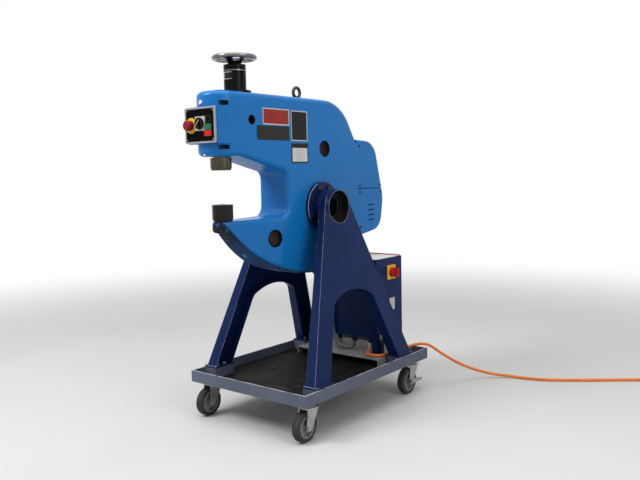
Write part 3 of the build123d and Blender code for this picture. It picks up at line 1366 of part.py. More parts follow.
right_stand = make_right_stand()
buttons = button_levels()
nodes = {
    "cart_frame": make_cart_frame(),
    "tray_sheet": make_tray_sheet(),
    "cabinet_shelf": make_cabinet_shelf(),
    "right_stand": right_stand,
    "left_stand": mirrored(right_stand),
    "cart_bolts": make_cart_bolts(),
    "trunnion_bushes": make_trunnion_bushes(),
    "caster_plates": make_caster_plates(),
    "cabinet_box": make_cabinet_box(),
    "cabinet_door": make_cabinet_door(),
    "cabinet_feet": make_cabinet_feet(),
    "switchgear": make_switchgear(),
    "switch_plate": make_switch_plate(),
    "switch_knob": make_switch_knob(),
    "cable_glands": make_cable_glands(),
    "control_conduit": routed_tube("control_conduit", conduit_points(), CONDUIT_RADIUS),
    "mains_cord": routed_tube("mains_cord", cord_points(), CORD_RADIUS),
    "cord_coil": make_cord_coil(),
    "plug": make_plug(),
    "c_frame": tilted(make_c_frame()),
    "trunnions": tilted(make_trunnions()),
    "trunnion_bolts": tilted(make_trunnion_bolts()),
    "rear_cover_upper": tilted(make_rear_cover_upper()),
    "rear_cover_lower": tilted(make_rear_cover_lower()),
    "motor_body": tilted(make_motor_body()),
    "motor_shaft": tilted(make_motor_shaft()),
    "drive_belt": tilted(make_drive_belt()),
    "eccentric_shaft": tilted(make_eccentric_shaft()),
    "eccentric_bearings": tilted(make_eccentric_bearings()),
    "rocker_lever": tilted(make_rocker_lever()),
    "fulcrum_block": tilted(make_fulcrum_block()),
    "ram": tilted(make_ram()),
    "ram_guide": tilted(make_ram_guide()),
    "upper_tool_holder": tilted(make_upper_tool_holder()),
    "lower_tool_holder": tilted(make_lower_tool_holder()),
    "column": tilted(make_column()),
    "spindle": tilted(make_spindle()),
    "handwheel": tilted(make_handwheel()),
    "eyebolt": tilted(make_eyebolt()),
    "panel_housing": tilted(make_panel_housing()),
    "panel_plate": tilted(make_panel_plate()),
    "control_plates": tilted(make_control_plates()),
    "estop_button": tilted(make_estop_button()),
    "selector_knob": tilted(make_selector_knob()),
    "green_button": tilted(make_button(buttons["green"])),
    "red_button": tilted(make_button(buttons["red"])),
}
for corner, (x, y) in caster_places().items():
    braked = corner.startswith("rear")
    nodes[f"{corner}_fork"] = make_fork(x, y, 2 * PEDAL_WALL if braked else 0)
    nodes[f"{corner}_wheel_hub"] = make_wheel_hub(x, y)
    nodes[f"{corner}_tyre"] = make_tyre(x, y)
    if braked:
        nodes[f"{corner}_brake_pedal"] = make_brake_pedal(x, y)

os.makedirs("parts", exist_ok=True)
for name, solids in nodes.items():
    group = Compound(solids) if isinstance(solids, list) else solids
    export_step(Pos(0, -ORIGIN_Y, 0) * group, f"parts/{name}.step")
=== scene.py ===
import json
import math

import bpy
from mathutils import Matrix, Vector


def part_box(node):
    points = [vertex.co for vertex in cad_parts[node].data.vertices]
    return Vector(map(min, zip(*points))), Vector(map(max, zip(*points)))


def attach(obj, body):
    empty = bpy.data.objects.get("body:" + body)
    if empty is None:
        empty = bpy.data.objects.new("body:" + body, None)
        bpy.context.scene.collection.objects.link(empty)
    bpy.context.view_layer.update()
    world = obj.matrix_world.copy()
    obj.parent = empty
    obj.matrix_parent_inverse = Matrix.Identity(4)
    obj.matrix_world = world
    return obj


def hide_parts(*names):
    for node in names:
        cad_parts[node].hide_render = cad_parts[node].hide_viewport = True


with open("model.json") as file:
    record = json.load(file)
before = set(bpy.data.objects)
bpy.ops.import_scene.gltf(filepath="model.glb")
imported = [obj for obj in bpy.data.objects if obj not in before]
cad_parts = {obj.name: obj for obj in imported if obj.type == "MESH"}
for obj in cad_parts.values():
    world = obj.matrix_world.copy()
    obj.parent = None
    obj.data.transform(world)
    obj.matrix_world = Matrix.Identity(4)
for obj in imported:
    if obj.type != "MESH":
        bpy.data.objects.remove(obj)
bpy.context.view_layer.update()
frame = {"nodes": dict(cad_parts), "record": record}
bpy.ops.object.select_all(action="DESELECT")


# Camera, floor and studio light
# The machine stands on a plain pale floor that fades into a white backdrop. A large soft lamp hangs over it,
# and one in front and one at its right light the sides, at a level where paint shows its own colour.
scene = bpy.context.scene
scene.view_settings.view_transform = "Standard"

CAMERA_PLACE = (2.06758, -2.40315, 1.06861)
CAMERA_TURN = (84.530, 1.253, 38.687)
lens = bpy.data.cameras.new("lens")
lens.sensor_width = 36
lens.lens = 40.267
camera = bpy.data.objects.new("camera", lens)
camera.location = CAMERA_PLACE
camera.rotation_euler = [math.radians(turn) for turn in CAMERA_TURN]
scene.collection.objects.link(camera)
scene.camera = camera


class Signal:
    """A socket of a node tree. Arithmetic on it adds Math nodes, and node() adds any other node."""

    def __init__(self, tree, socket=None):
        self.tree = tree
        self.socket = socket

    def node(self, kind, settings, inputs, output=0):
        made = self.tree.nodes.new("ShaderNode" + kind)
        for name, value in settings.items():
            setattr(made, name, value)
        for name, value in inputs.items():
            if isinstance(value, Signal):
                self.tree.links.new(value.socket, made.inputs[name])
            else:
                made.inputs[name].default_value = value
        return Signal(self.tree, made.outputs[output] if made.outputs else None)

    def maths(self, operation, first, second):
        return self.node("Math", {"operation": operation}, {0: first, 1: second})

    def __add__(self, other):
        return self.maths("ADD", self, other)

    def __sub__(self, other):
        return self.maths("SUBTRACT", self, other)

    def __rsub__(self, other):
        return self.maths("SUBTRACT", other, self)

    def __mul__(self, other):
        return self.maths("MULTIPLY", self, other)

    __radd__ = __add__
    __rmul__ = __mul__

    def rise(self, low, high):
        """0 below low, 1 above high and smooth between."""
        settings = {"interpolation_type": "SMOOTHSTEP"}
        return self.node("MapRange", settings, {"Value": self, "From Min": low, "From Max": high})

    def noise(self, scale, detail=4.0):
        """A cloud from 0 to 1 over this place."""
        return self.node("TexNoise", {}, {"Vector": self, "Scale": scale, "Detail": detail})

    def along(self, axis):
        """One coordinate of this place."""
        return self.node("SeparateXYZ", {}, {"Vector": self}, axis)

    def stretched(self, scale):
        """This place with its axes scaled, so that a pattern runs long where the scale is small."""
        return self.node("Mapping", {}, {"Vector": self, "Scale": scale})

    def from_point(self, point):
        """The distance of this place from a point."""
        return self.node("VectorMath", {"operation": "DISTANCE"}, {0: self, 1: point}, "Value")

    def mixed(self, first, second):
        """The first colour where this mask is 0 and the second where it is 1."""
        return self.node("Mix", {"data_type": "RGBA"}, {0: self, 6: first, 7: second}, 2)


def opaque(colour):
    """A colour as a socket takes it."""
    return (*colour, 1.0)


def seen_directly(start):
    """1 for what the camera, a reflection or clear glass sees, 0 for the light that a surface gives."""
    rays = [start.node("LightPath", {}, {}, name)
            for name in ("Is Camera Ray", "Is Glossy Ray", "Is Transmission Ray")]
    return start.maths("MAXIMUM", start.maths("MAXIMUM", rays[0], rays[1]), rays[2])


WHITE = opaque((1, 1, 1))
FLOOR_SIDE = 40.0
FLOOR_DARK = opaque((0.53, 0.53, 0.52))
FLOOR_LIGHT = opaque((0.60, 0.60, 0.59))
FLOOR_CLOUDS = 1.3
FLOOR_ROUGHNESS = 0.65
FADE_START = 2.0
FADE_END = 5.5
bpy.ops.mesh.primitive_plane_add(size=FLOOR_SIDE)
floor = bpy.context.active_object
floor.name = "floor"
floor_paint = bpy.data.materials.new("pale_floor")
floor_paint.use_nodes = True
floor_paint.node_tree.nodes.clear()
start = Signal(floor_paint.node_tree)
place = start.node("TexCoord", {}, {}, "Object")
far = place.from_point((0, 0, 0)).rise(FADE_START, FADE_END)
tone = place.noise(FLOOR_CLOUDS, detail=6.0).mixed(FLOOR_DARK, FLOOR_LIGHT)
paint = start.node("BsdfPrincipled", {}, {"Base Color": tone, "Roughness": FLOOR_ROUGHNESS})
glow = start.node("Emission", {}, {"Color": WHITE, "Strength": 1.0})
shown = start.node("MixShader", {}, {0: far * seen_directly(start), 1: paint, 2: glow})
start.node("OutputMaterial", {}, {"Surface": shown})
floor.data.materials.append(floor_paint)

SKY_LIGHT = 0.38
world = bpy.data.worlds.new("studio")
world.use_nodes = True
world.node_tree.nodes.clear()
start = Signal(world.node_tree)
strength = SKY_LIGHT + (1 - SKY_LIGHT) * seen_directly(start)
sky = start.node("Background", {}, {"Color": WHITE, "Strength": strength})
start.node("OutputWorld", {}, {"Surface": sky})
scene.world = world

# Each lamp has its place, the length of its side and its power.
LAMPS = {
    "front_lamp": ((-1.6, -3.2, 4.2), 1.8, 170),
    "overhead_lamp": ((0.6, -0.4, 4.4), 3.6, 120),
    "side_lamp": ((3.8, -0.6, 2.4), 2.0, 40),
}
LAMP_AIM = Vector((0, 0, 0.7))
for name, (position, side, power) in LAMPS.items():
    lamp = bpy.data.lights.new(name, "AREA")
    lamp.size = side
    lamp.energy = power
    holder = bpy.data.objects.new(name, lamp)
    holder.location = position
    aim = LAMP_AIM - Vector(position)
    holder.rotation_euler = aim.to_track_quat("-Z", "Y").to_euler()
    scene.collection.objects.link(holder)


# Mains lead
# Orange rubber lead, 14 mm thick, out of a gland under the cabinet, round on the shelf, over the cart's rear
# corner and along the floor. The length that is not needed lies coiled and tied, with the plug on its end.
PATCH_RISE = (0.3, 0.7)
GLOSS_DRIFT = 0.4
GLOSS_FINENESS = 5


def finish(name, colour, roughness, metallic=0.0, vary=0.12, patch=7.0, grain=320.0, depth=0.00015,
           specular=0.15, layers=()):
    """A material whose colour drifts in patches and whose gloss drifts more finely, over a fine grain.
    Each layer is a mask over the place, with the colour, roughness and metal that it shows."""
    material = bpy.data.materials.new(name)
    material.use_nodes = True
    material.node_tree.nodes.clear()
    start = Signal(material.node_tree)
    place = start.node("TexCoord", {}, {}, "Object")
    dark = opaque([part * (1 - vary) for part in colour])
    light = opaque([min(1.0, part * (1 + vary)) for part in colour])
    tone = place.noise(patch).rise(*PATCH_RISE).mixed(dark, light)
    gloss = roughness * (1 - GLOSS_DRIFT / 2 + GLOSS_DRIFT * place.noise(patch * GLOSS_FINENESS))
    metal = metallic
    for where, tint, layer_gloss, layer_metal in layers:
        mask = where(place)
        tone = mask.mixed(tone, opaque(tint))
        gloss = gloss + mask * (layer_gloss - gloss)
        if layer_metal != metallic:
            metal = metal + mask * (layer_metal - metal)
    dent = start.node("Bump", {}, {"Height": place.noise(grain, detail=2.0), "Distance": depth})
    shader = start.node("BsdfPrincipled", {}, {
        "Base Color": tone,
        "Roughness": gloss,
        "Metallic": metal,
        "Normal": dent,
        "Specular IOR Level": specular,
    })
    start.node("OutputMaterial", {}, {"Surface": shader})
    return material


def specks(scale, low, high):
    """A mask of blotches: less of them the higher low is."""
    return lambda place: place.noise(scale, detail=6.0).rise(low, high)


def flexible(name, route, radius, material):
    """A round lead along a smooth line that the route's points pull into shape."""
    line = bpy.data.curves.new(name, "CURVE")
    line.dimensions = "3D"
    line.bevel_depth = radius
    line.bevel_resolution = 5
    line.resolution_u = 6
    line.use_fill_caps = True
    spline = line.splines.new("NURBS")
    spline.points.add(len(route) - 1)
    for point, position in zip(spline.points, route):
        point.co = (*position, 1.0)
    spline.order_u = 3
    spline.use_endpoint_u = True
    line.materials.append(material)
    piece = bpy.data.objects.new(name, line)
    scene.collection.objects.link(piece)
    return piece


LEAD_RADIUS = 0.007
LEAD_ROUTE = [
    (0.141, 0.36165, 0.246), (0.1405, 0.35965, 0.229), (0.138, 0.35015, 0.213), (0.139, 0.33215, 0.2055),
    (0.153, 0.31415, 0.2055), (0.178, 0.30415, 0.2055), (0.205, 0.30915, 0.2055), (0.225, 0.33015, 0.2055),
    (0.231, 0.36415, 0.2055), (0.233, 0.41015, 0.2055), (0.238, 0.45815, 0.2065), (0.258, 0.50315, 0.213),
    (0.292, 0.52915, 0.229), (0.338, 0.56515, 0.228), (0.362, 0.62115, 0.183), (0.383, 0.68715, 0.139),
    (0.406, 0.76215, 0.093), (0.446, 0.84615, 0.051), (0.505, 0.92315, 0.020), (0.580, 0.97415, 0.0095),
    (0.665, 0.99015, 0.0075), (0.748, 1.01815, 0.0075), (0.860, 1.09015, 0.0075), (0.985, 1.18015, 0.0075),
    (1.100, 1.26335, 0.0075), (1.226, 1.35425, 0.0075),
]
# The coil is laid in half turns of these radii, first inwards and then outwards on a second layer.
COIL_RADII = [0.0960, 0.0885, 0.0810, 0.0735, 0.0660, 0.0585, 0.0660, 0.0735, 0.0810, 0.0885, 0.0960, 0.1145]
COIL_CLIMB = 5
COIL_LAYER = 0.015
POINTS_PER_HALF = 8
PULL_IN = 0.981
PLUG_TAIL = 0.014
coil_start = Vector(LEAD_ROUTE[-1])
coil_forward = Vector((0.811, 0.585, 0)).normalized()
coil_across = Vector((coil_forward.y, -coil_forward.x, 0))
coil = []
reach = 0.0
side = 1
height = 0.0
for number, radius in enumerate(COIL_RADII):
    middle = coil_start + coil_across * (reach + side * radius)
    for step in range(1, POINTS_PER_HALF + 1):
        turn = math.pi * step / POINTS_PER_HALF
        if number == COIL_CLIMB:
            height += COIL_LAYER / POINTS_PER_HALF
        arm = coil_forward * math.sin(turn) - coil_across * math.cos(turn)
        coil.append(middle + arm * side * radius / PULL_IN + Vector((0, 0, height)))
    reach += side * 2 * radius
    side = -side
coil_end = coil_start + coil_across * reach + Vector((0, 0, height))
coil += [coil_end + coil_forward * PLUG_TAIL / 2, coil_end + coil_forward * PLUG_TAIL]

orange_sheath = finish(
    "orange_sheath", (0.74, 0.20, 0.045), roughness=0.45, vary=0.07, patch=25, grain=1500, depth=0.00008,
    layers=[
        (specks(30, 0.58, 0.8), (0.42, 0.13, 0.045), 0.6, 0.0),
    ])
lead = flexible("mains_lead", LEAD_ROUTE + coil, LEAD_RADIUS, orange_sheath)
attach(lead, "cart")
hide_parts("mains_cord", "cord_coil")


def only(piece):
    """Make one piece the selected and active one."""
    bpy.ops.object.select_all(action="DESELECT")
    piece.select_set(True)
    bpy.context.view_layer.objects.active = piece


def turned(profile, foot, direction, steps=40, angle=math.tau):
    """A round piece: a profile of (radius, height) spun about an axis that rises from foot."""
    bpy.ops.mesh.primitive_plane_add(size=0.01)
    piece = bpy.context.active_object
    only(piece)
    bpy.ops.object.mode_set(mode="EDIT")
    bpy.ops.mesh.select_mode(type="VERT")
    bpy.ops.mesh.merge(type="CENTER")
    bpy.ops.transform.translate(value=(profile[0][0], 0, profile[0][1]))
    for before, after in zip(profile, profile[1:]):
        move = (after[0] - before[0], 0, after[1] - before[1])
        bpy.ops.mesh.extrude_vertices_move(TRANSFORM_OT_translate={"value": move})
    bpy.ops.mesh.select_all(action="SELECT")
    bpy.ops.mesh.spin(steps=steps, angle=angle, center=(0, 0, 0), axis=(0, 0, 1))
    bpy.ops.mesh.select_all(action="SELECT")
    bpy.ops.mesh.remove_doubles(threshold=0.000002)
    bpy.ops.mesh.fill_holes(sides=0)
    bpy.ops.mesh.normals_make_consistent(inside=False)
    bpy.ops.object.mode_set(mode="OBJECT")
    piece.rotation_euler = Vector(direction).to_track_quat("Z", "Y").to_euler()
    piece.location = foot
    bpy.ops.object.transform_apply(location=True, rotation=True, scale=True)
    return piece


def settle(piece, name, material, body, slot, *nodes, sharp=35):
    """Name and paint a finished piece, and fix it to the body that carries it."""
    piece.name = name
    piece.data.name = name
    only(piece)
    bpy.ops.object.transform_apply(location=True, rotation=True, scale=True)
    bpy.ops.object.shade_smooth_by_angle(angle=math.radians(sharp))
    if material:
        piece.data.materials.clear()
        piece.data.materials.append(material)
    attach(piece, body)
    if nodes:
        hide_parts(*nodes)
    bpy.ops.object.select_all(action="DESELECT")


SLEEVE_TOP = (0.141, 0.36165, 0.2475)
SLEEVE_AXIS = (-0.0007, -0.0028, -0.026)
COLLAR_RADIUS = 0.0105
COLLAR_HEIGHT = 0.004
RIBS = 4
RIB_RADIUS = 0.0102
RIB_TAPER = 0.0004
RIB_PITCH = 0.005
RIB_SHAPE = [(-0.0012, 0.0010), (-0.0012, 0.0025), (-0.0002, 0.0032), (-0.0004, 0.0048)]
SLEEVE_TIP = 0.0080
SLEEVE_LENGTH = 0.0265
sleeve_profile = [(0, 0), (COLLAR_RADIUS, 0), (COLLAR_RADIUS, COLLAR_HEIGHT)]
for rib in range(RIBS):
    rim = RIB_RADIUS - RIB_TAPER * rib
    foot = COLLAR_HEIGHT + RIB_PITCH * rib
    sleeve_profile += [(rim + out, foot + up) for out, up in RIB_SHAPE]
sleeve_profile += [(SLEEVE_TIP, SLEEVE_LENGTH), (0, SLEEVE_LENGTH)]
pale_rubber = finish("pale_rubber", (0.55, 0.53, 0.50), roughness=0.55, vary=0.08, patch=40, grain=900)
sleeve = turned(sleeve_profile, SLEEVE_TOP, SLEEVE_AXIS)
settle(sleeve, "lead_sleeve", pale_rubber, "cart", "grey_plastic")


def block(low, high):
    """A box between two corners."""
    low = Vector(low)
    high = Vector(high)
    bpy.ops.mesh.primitive_cube_add(size=1, location=(low + high) / 2)
    piece = bpy.context.active_object
    piece.scale = high - low
    only(piece)
    bpy.ops.object.transform_apply(location=True, rotation=True, scale=True)
    return piece


def pick_nothing(piece, kind):
    """Leave a piece in object mode with none of its faces, edges or corners selected."""
    only(piece)
    bpy.ops.object.mode_set(mode="EDIT")
    bpy.ops.mesh.select_mode(type=kind)
    bpy.ops.mesh.select_all(action="DESELECT")
    bpy.ops.object.mode_set(mode="OBJECT")


def pick_faces(piece, wanted):
    """Go to edit mode with the faces selected for which wanted(centre, normal) holds."""
    pick_nothing(piece, "FACE")
    for face in piece.data.polygons:
        face.select = wanted(face.center, face.normal)
    bpy.ops.object.mode_set(mode="EDIT")


def modified(piece, kind, **settings):
    """Give a piece a modifier and apply it."""
    only(piece)
    change = piece.modifiers.new(kind.lower(), kind)
    for name, value in settings.items():
        setattr(change, name, value)
    bpy.ops.object.modifier_apply(modifier=change.name)


def round_edges(piece, wanted, radius, segments):
    """Round off the edges for which wanted(middle, run) holds."""
    pick_nothing(piece, "EDGE")
    for edge in piece.data.edges:
        first, second = (piece.data.vertices[index].co for index in edge.vertices)
        edge.select = wanted((first + second) / 2, (second - first).normalized())
    bpy.ops.object.mode_set(mode="EDIT")
    bpy.ops.mesh.bevel(offset=radius, segments=segments)
    bpy.ops.object.mode_set(mode="OBJECT")


def hollow_out(piece, opened, wall):
    """Leave out the faces for which opened(centre, normal) holds, and give the rest a wall."""
    pick_faces(piece, opened)
    bpy.ops.mesh.delete(type="FACE")
    bpy.ops.object.mode_set(mode="OBJECT")
    modified(piece, "SOLIDIFY", thickness=wall, offset=-1)


# A direction with this much of it along an axis counts as being along that axis.
ALIGNED = 0.9
TIE_HALF = 0.0025
TIE_LOW = 0.0004
TIE_HIGH = 0.0297
TIE_NEAR = 0.1546
TIE_FAR = 0.2144
TIE_CORNER = 0.007
TIE_WALL = 0.0004
tie = block((TIE_NEAR, -TIE_HALF, TIE_LOW), (TIE_FAR, TIE_HALF, TIE_HIGH))
round_edges(tie, lambda middle, run: abs(run.y) > ALIGNED, TIE_CORNER, segments=5)
hollow_out(tie, lambda centre, normal: abs(normal.y) > ALIGNED, TIE_WALL)
tie.rotation_euler = (0, 0, math.atan2(coil_across.y, coil_across.x))
tie.location = (coil_start.x, coil_start.y, 0)
black_nylon = finish(
    "black_nylon", (0.018, 0.018, 0.019), roughness=0.4, vary=0.2, patch=60, grain=1800, depth=0.00005)
settle(tie, "coil_tie", black_nylon, "cart", "black_plastic")


def coat(material, *nodes):
    """Give CAD nodes that stay as they are their real finish."""
    for node in nodes:
        for place in frame["nodes"][node].material_slots:
            place.material = material


coat(black_nylon, "plug", "cable_glands")


# Control conduit
# Grey flexible conduit, 20 mm thick, that hangs from the hollow left trunnion to the underside of the
# cabinet. It carries the wires of the control panel and of the motor, with slack for the tilt.
CONDUIT_RADIUS = 0.010
CONDUIT_ROUTE = [
    (-0.182, 0.07165, 0.915), (-0.245, 0.07165, 0.915), (-0.291, 0.12015, 0.893), (-0.292, 0.21015, 0.820),
    (-0.276, 0.27815, 0.735), (-0.225, 0.31615, 0.640), (-0.150, 0.32615, 0.556), (-0.090, 0.32515, 0.480),
    (-0.068, 0.32615, 0.390), (-0.063, 0.32915, 0.300), (-0.045, 0.33615, 0.229), (-0.008, 0.35015, 0.209),
    (0.030, 0.36615, 0.213), (0.042, 0.36965, 0.232), (0.042, 0.36965, 0.270),
]
grey_conduit = finish(
    "grey_conduit", (0.15, 0.155, 0.16), roughness=0.5, vary=0.15, patch=20, grain=700, depth=0.0004, layers=[
        (specks(14, 0.6, 0.85), (0.26, 0.25, 0.23), 0.7, 0.0),
    ])
conduit = flexible("panel_conduit", CONDUIT_ROUTE, CONDUIT_RADIUS, grey_conduit)
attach(conduit, "cart")
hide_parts("control_conduit")


# Cart
# Frame of welded angle iron with corner plates, in dull blue-grey paint, a loose black sheet as tray and a
# folded steel shelf for the cabinet. Zinc-plated bolts hold the stands and the casters.
slot_of = {part["node"]: part["material_slot"] for part in frame["record"]["subparts"]}


def merged_copy(node, name, whole_faces):
    """A copy of a CAD node with its loose triangles merged, and joined to whole faces if asked."""
    piece = bpy.data.objects.new(name, frame["nodes"][node].data.copy())
    scene.collection.objects.link(piece)
    only(piece)
    bpy.ops.mesh.customdata_custom_splitnormals_clear()
    bpy.ops.object.mode_set(mode="EDIT")
    bpy.ops.mesh.select_all(action="SELECT")
    bpy.ops.mesh.remove_doubles(threshold=0.000005)
    if whole_faces:
        bpy.ops.mesh.dissolve_limited(angle_limit=math.radians(0.4))
    bpy.ops.object.mode_set(mode="OBJECT")
    return piece


def dressed(node, name, material, body, eased, segments=2, edge=None):
    """A CAD node with the eased edges that folding, casting or grinding leave, painted in an edge material
    that on some pieces is worn paint with a painted highlight.
    """
    piece = merged_copy(node, name, whole_faces=True)
    piece.data.materials.clear()
    for paint in (material, edge or material):
        piece.data.materials.append(paint)
    modified(piece, "BEVEL", width=eased, segments=segments, limit_method="ANGLE",
             angle_limit=math.radians(35), material=1)
    settle(piece, name, None, body, slot_of[node], node)
    modified(piece, "WEIGHTED_NORMAL", keep_sharp=True)
    return piece


def streaks(scale, low, high):
    """A mask of long marks, as from things that were dragged along."""
    return lambda place: place.stretched(scale).noise(1.0, detail=8.0).rise(low, high)


cart_paint = finish(
    "cart_paint", (0.092, 0.107, 0.150), roughness=0.42, vary=0.12, patch=5, grain=420, depth=0.00025,
    layers=[
        (specks(9, 0.56, 0.75), (0.125, 0.137, 0.170), 0.6, 0.0),
        (specks(55, 0.70, 0.76), (0.045, 0.045, 0.052), 0.6, 0.0),
    ])
# Lighter edge paint for the rails' eased edges and top faces: worn paint, with a painted highlight along the
# top edge.
highlit_worn_edge = finish(
    "highlit_worn_edge", (0.100, 0.115, 0.160), roughness=0.42, vary=0.12, patch=5, grain=420, depth=0.00025, layers=[
        (specks(14, 0.30, 0.52), (0.46, 0.48, 0.52), 0.45, 0.0),
        (specks(70, 0.62, 0.72), (0.045, 0.045, 0.052), 0.6, 0.0),
    ])
shelf_paint = finish(
    "shelf_paint", (0.20, 0.20, 0.195), roughness=0.5, vary=0.12, patch=8, grain=420, layers=[
        (specks(18, 0.6, 0.8), (0.13, 0.13, 0.125), 0.65, 0.0),
    ])
tray_coating = finish(
    "tray_coating", (0.0065, 0.0062, 0.0062), roughness=0.6, vary=0.25, patch=9, grain=500, specular=0.05,
    layers=[
        (streaks((6, 55, 30), 0.60, 0.72), (0.034, 0.032, 0.030), 0.6, 0.0),
        (streaks((70, 9, 30), 0.64, 0.74), (0.055, 0.051, 0.046), 0.55, 0.0),
        (specks(7, 0.58, 0.8), (0.020, 0.019, 0.018), 0.75, 0.0),
    ])
zinc_plate = finish(
    "zinc_plate", (0.40, 0.40, 0.385), roughness=0.36, metallic=1.0, vary=0.14, patch=45, grain=900, layers=[
        (specks(26, 0.58, 0.8), (0.20, 0.19, 0.175), 0.6, 0.6),
    ])
RAIL_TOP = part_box("cart_frame")[1][2]
RAIL_EDGE = 0.003
UPWARD = 0.5
rails = dressed("cart_frame", "cart_rails", cart_paint, "cart", eased=0.0024, edge=highlit_worn_edge)
# The top faces of the rails get the lighter edge paint too: a painted highlight with wear.
pick_faces(rails, lambda centre, normal: normal.z > UPWARD and centre.z > RAIL_TOP - RAIL_EDGE)
rails.active_material_index = 1
bpy.ops.object.material_slot_assign()
bpy.ops.object.mode_set(mode="OBJECT")
dressed("cabinet_shelf", "shelf_sheet", shelf_paint, "cart", eased=0.0012)
coat(tray_coating, "tray_sheet")
coat(zinc_plate, "cart_bolts", "caster_plates")


# Casters
# Four swivel casters with pressed zinc-plated forks and black rubber tyres on grey hubs, bolted under the
# corners of the cart. The forks flare to the rear below the swivel race. The rear pair have brake pedals.
tyre_rubber = finish(
    "tyre_rubber", (0.036, 0.035, 0.036), roughness=0.7, vary=0.18, patch=25, grain=800, depth=0.0003,
    layers=[
        (specks(22, 0.55, 0.8), (0.075, 0.072, 0.068), 0.85, 0.0),
    ])
hub_plastic = finish(
    "hub_plastic", (0.190, 0.186, 0.180), roughness=0.5, vary=0.15, patch=30, grain=600, layers=[
        (specks(28, 0.55, 0.8), (0.10, 0.095, 0.09), 0.7, 0.0),
    ])
CORNERS = ("front_left", "front_right", "rear_left", "rear_right")
FLARE_FROM = 0.125
FLARE_SIDE = 0.012
FLARE = 0.017
RACE_RADIUS = 0.033
LEG_INNER = 0.019
for corner in CORNERS:
    coat(tyre_rubber, corner + "_tyre")
    coat(hub_plastic, corner + "_wheel_hub")
    bracket = dressed(corner + "_fork", corner + "_bracket", zinc_plate, corner + "_caster", eased=0.0008)
    low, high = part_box(corner + "_fork")
    middle_x = (low[0] + high[0]) / 2
    flare_y = high[1] - RACE_RADIUS + FLARE_SIDE
    pick_nothing(bracket, "VERT")
    for vertex in bracket.data.vertices:
        x, y, z = vertex.co
        vertex.select = z > FLARE_FROM and y > flare_y and abs(x - middle_x) > LEG_INNER
    bpy.ops.object.mode_set(mode="EDIT")
    bpy.ops.transform.translate(value=(0, FLARE, 0))
    bpy.ops.object.mode_set(mode="OBJECT")
for corner in CORNERS[2:]:
    dressed(corner + "_brake_pedal", corner + "_tread", zinc_plate, corner + "_pedal", eased=0.0006)


# Stands
# Two leaning A-stands of thick navy-painted plate with a hollow back, an arched foot and a hub sleeve at the
# top that carries the trunnion in a bronze bush.
HUB_CENTRE = (0, 0.07165, 0.915)
HUB_MOUTH = 0.0704
MOUTH_RIM = 0.0026
FRONT_LEG_FOOT = -0.2714
FRONT_LEG_SLOPE = 0.3554
STAND_FOOT = 0.206
EDGE_REACH = 0.016


def low_down(low, high):
    """A mask that is 1 near the floor and 0 higher up."""
    return lambda place: 1 - place.along("Z").rise(low, high)


def both(first, second):
    """A mask that is 1 where two masks are."""
    return lambda place: first(place) * second(place)


def in_bore(centre, radius, flat=(0, 1, 1), soft=0.0004):
    """A mask that is 1 inside a cylinder. flat is 0 on the axis that it runs along."""
    return lambda place: 1 - place.stretched(flat).from_point(centre).rise(radius, radius + soft)


def front_edge_highlight(place):
    """A mask that is 1 along the front edges of the front legs, where a highlight is painted."""
    start_y = FRONT_LEG_FOOT - FRONT_LEG_SLOPE * STAND_FOOT
    behind = place.along("Y") - start_y - FRONT_LEG_SLOPE * place.along("Z")
    return 1 - behind.rise(EDGE_REACH / 2, EDGE_REACH)


def mouth_rim(place):
    """A mask that is 1 round the mouths of the hub sleeves, where a lighter ring is painted as a highlight.
    """
    outer = in_bore(HUB_CENTRE, HUB_MOUTH + MOUTH_RIM)(place)
    return outer * (1 - in_bore(HUB_CENTRE, HUB_MOUTH)(place))


NAVY = (0.0045, 0.0155, 0.074)
navy_paint = finish(
    "navy_paint", NAVY, roughness=0.36, vary=0.10, patch=4, grain=260, depth=0.0002, specular=0.09, layers=[
        (both(specks(16, 0.60, 0.8), low_down(0.2, 0.5)), (0.024, 0.035, 0.095), 0.55, 0.0),
        (specks(70, 0.72, 0.78), (0.035, 0.045, 0.11), 0.5, 0.0),
        (in_bore(HUB_CENTRE, HUB_MOUTH), (0.034, 0.029, 0.025), 0.34, 0.7),
        # Painted highlight: a lighter ring round the hub mouths, broken up in specks.
        (both(mouth_rim, specks(12, 0.26, 0.48)), (0.15, 0.16, 0.21), 0.45, 0.0),
    ])
# Edge paint for the eased edges of the stands and trunnion flanges: a lighter navy with wear specks, partly
# worn paint and partly painted highlight.
highlit_worn_navy = finish(
    "highlit_worn_navy", (0.012, 0.024, 0.085), roughness=0.36, vary=0.15, patch=4, grain=260, depth=0.0002, layers=[
        (specks(22, 0.56, 0.70), (0.10, 0.115, 0.17), 0.45, 0.2),
        # Painted highlight: a near-white line along the front edges of the front legs.
        (both(front_edge_highlight, specks(9, 0.24, 0.46)), (0.62, 0.65, 0.72), 0.45, 0.0),
        # Painted highlight: a lighter ring round the hub mouths.
        (both(mouth_rim, specks(12, 0.26, 0.48)), (0.24, 0.26, 0.31), 0.45, 0.0),
    ])
bronze = finish("bronze", (0.085, 0.058, 0.032), roughness=0.35, metallic=1.0, vary=0.2, patch=30, grain=900)
for hand in ("right", "left"):
    dressed(hand + "_stand", hand + "_stand_plate", navy_paint, "cart", eased=0.0045, segments=3,
            edge=highlit_worn_navy)
coat(bronze, "trunnion_bushes", "ram_guide")


# Trunnions
# Two hollow flanged trunnions, bolted to the sides of the casting and painted navy with the stands. The bores
# are left bare and have gone dark, and the bolts are black with some rust.
FLANGE_SIDE = 0.106
BARE_FROM = 0.110


def past_flange(place):
    """A mask that is 1 on the journals, further out than the flanges on both sides."""
    return place.maths("ABSOLUTE", place.along("X"), 0.0).rise(FLANGE_SIDE, BARE_FROM)


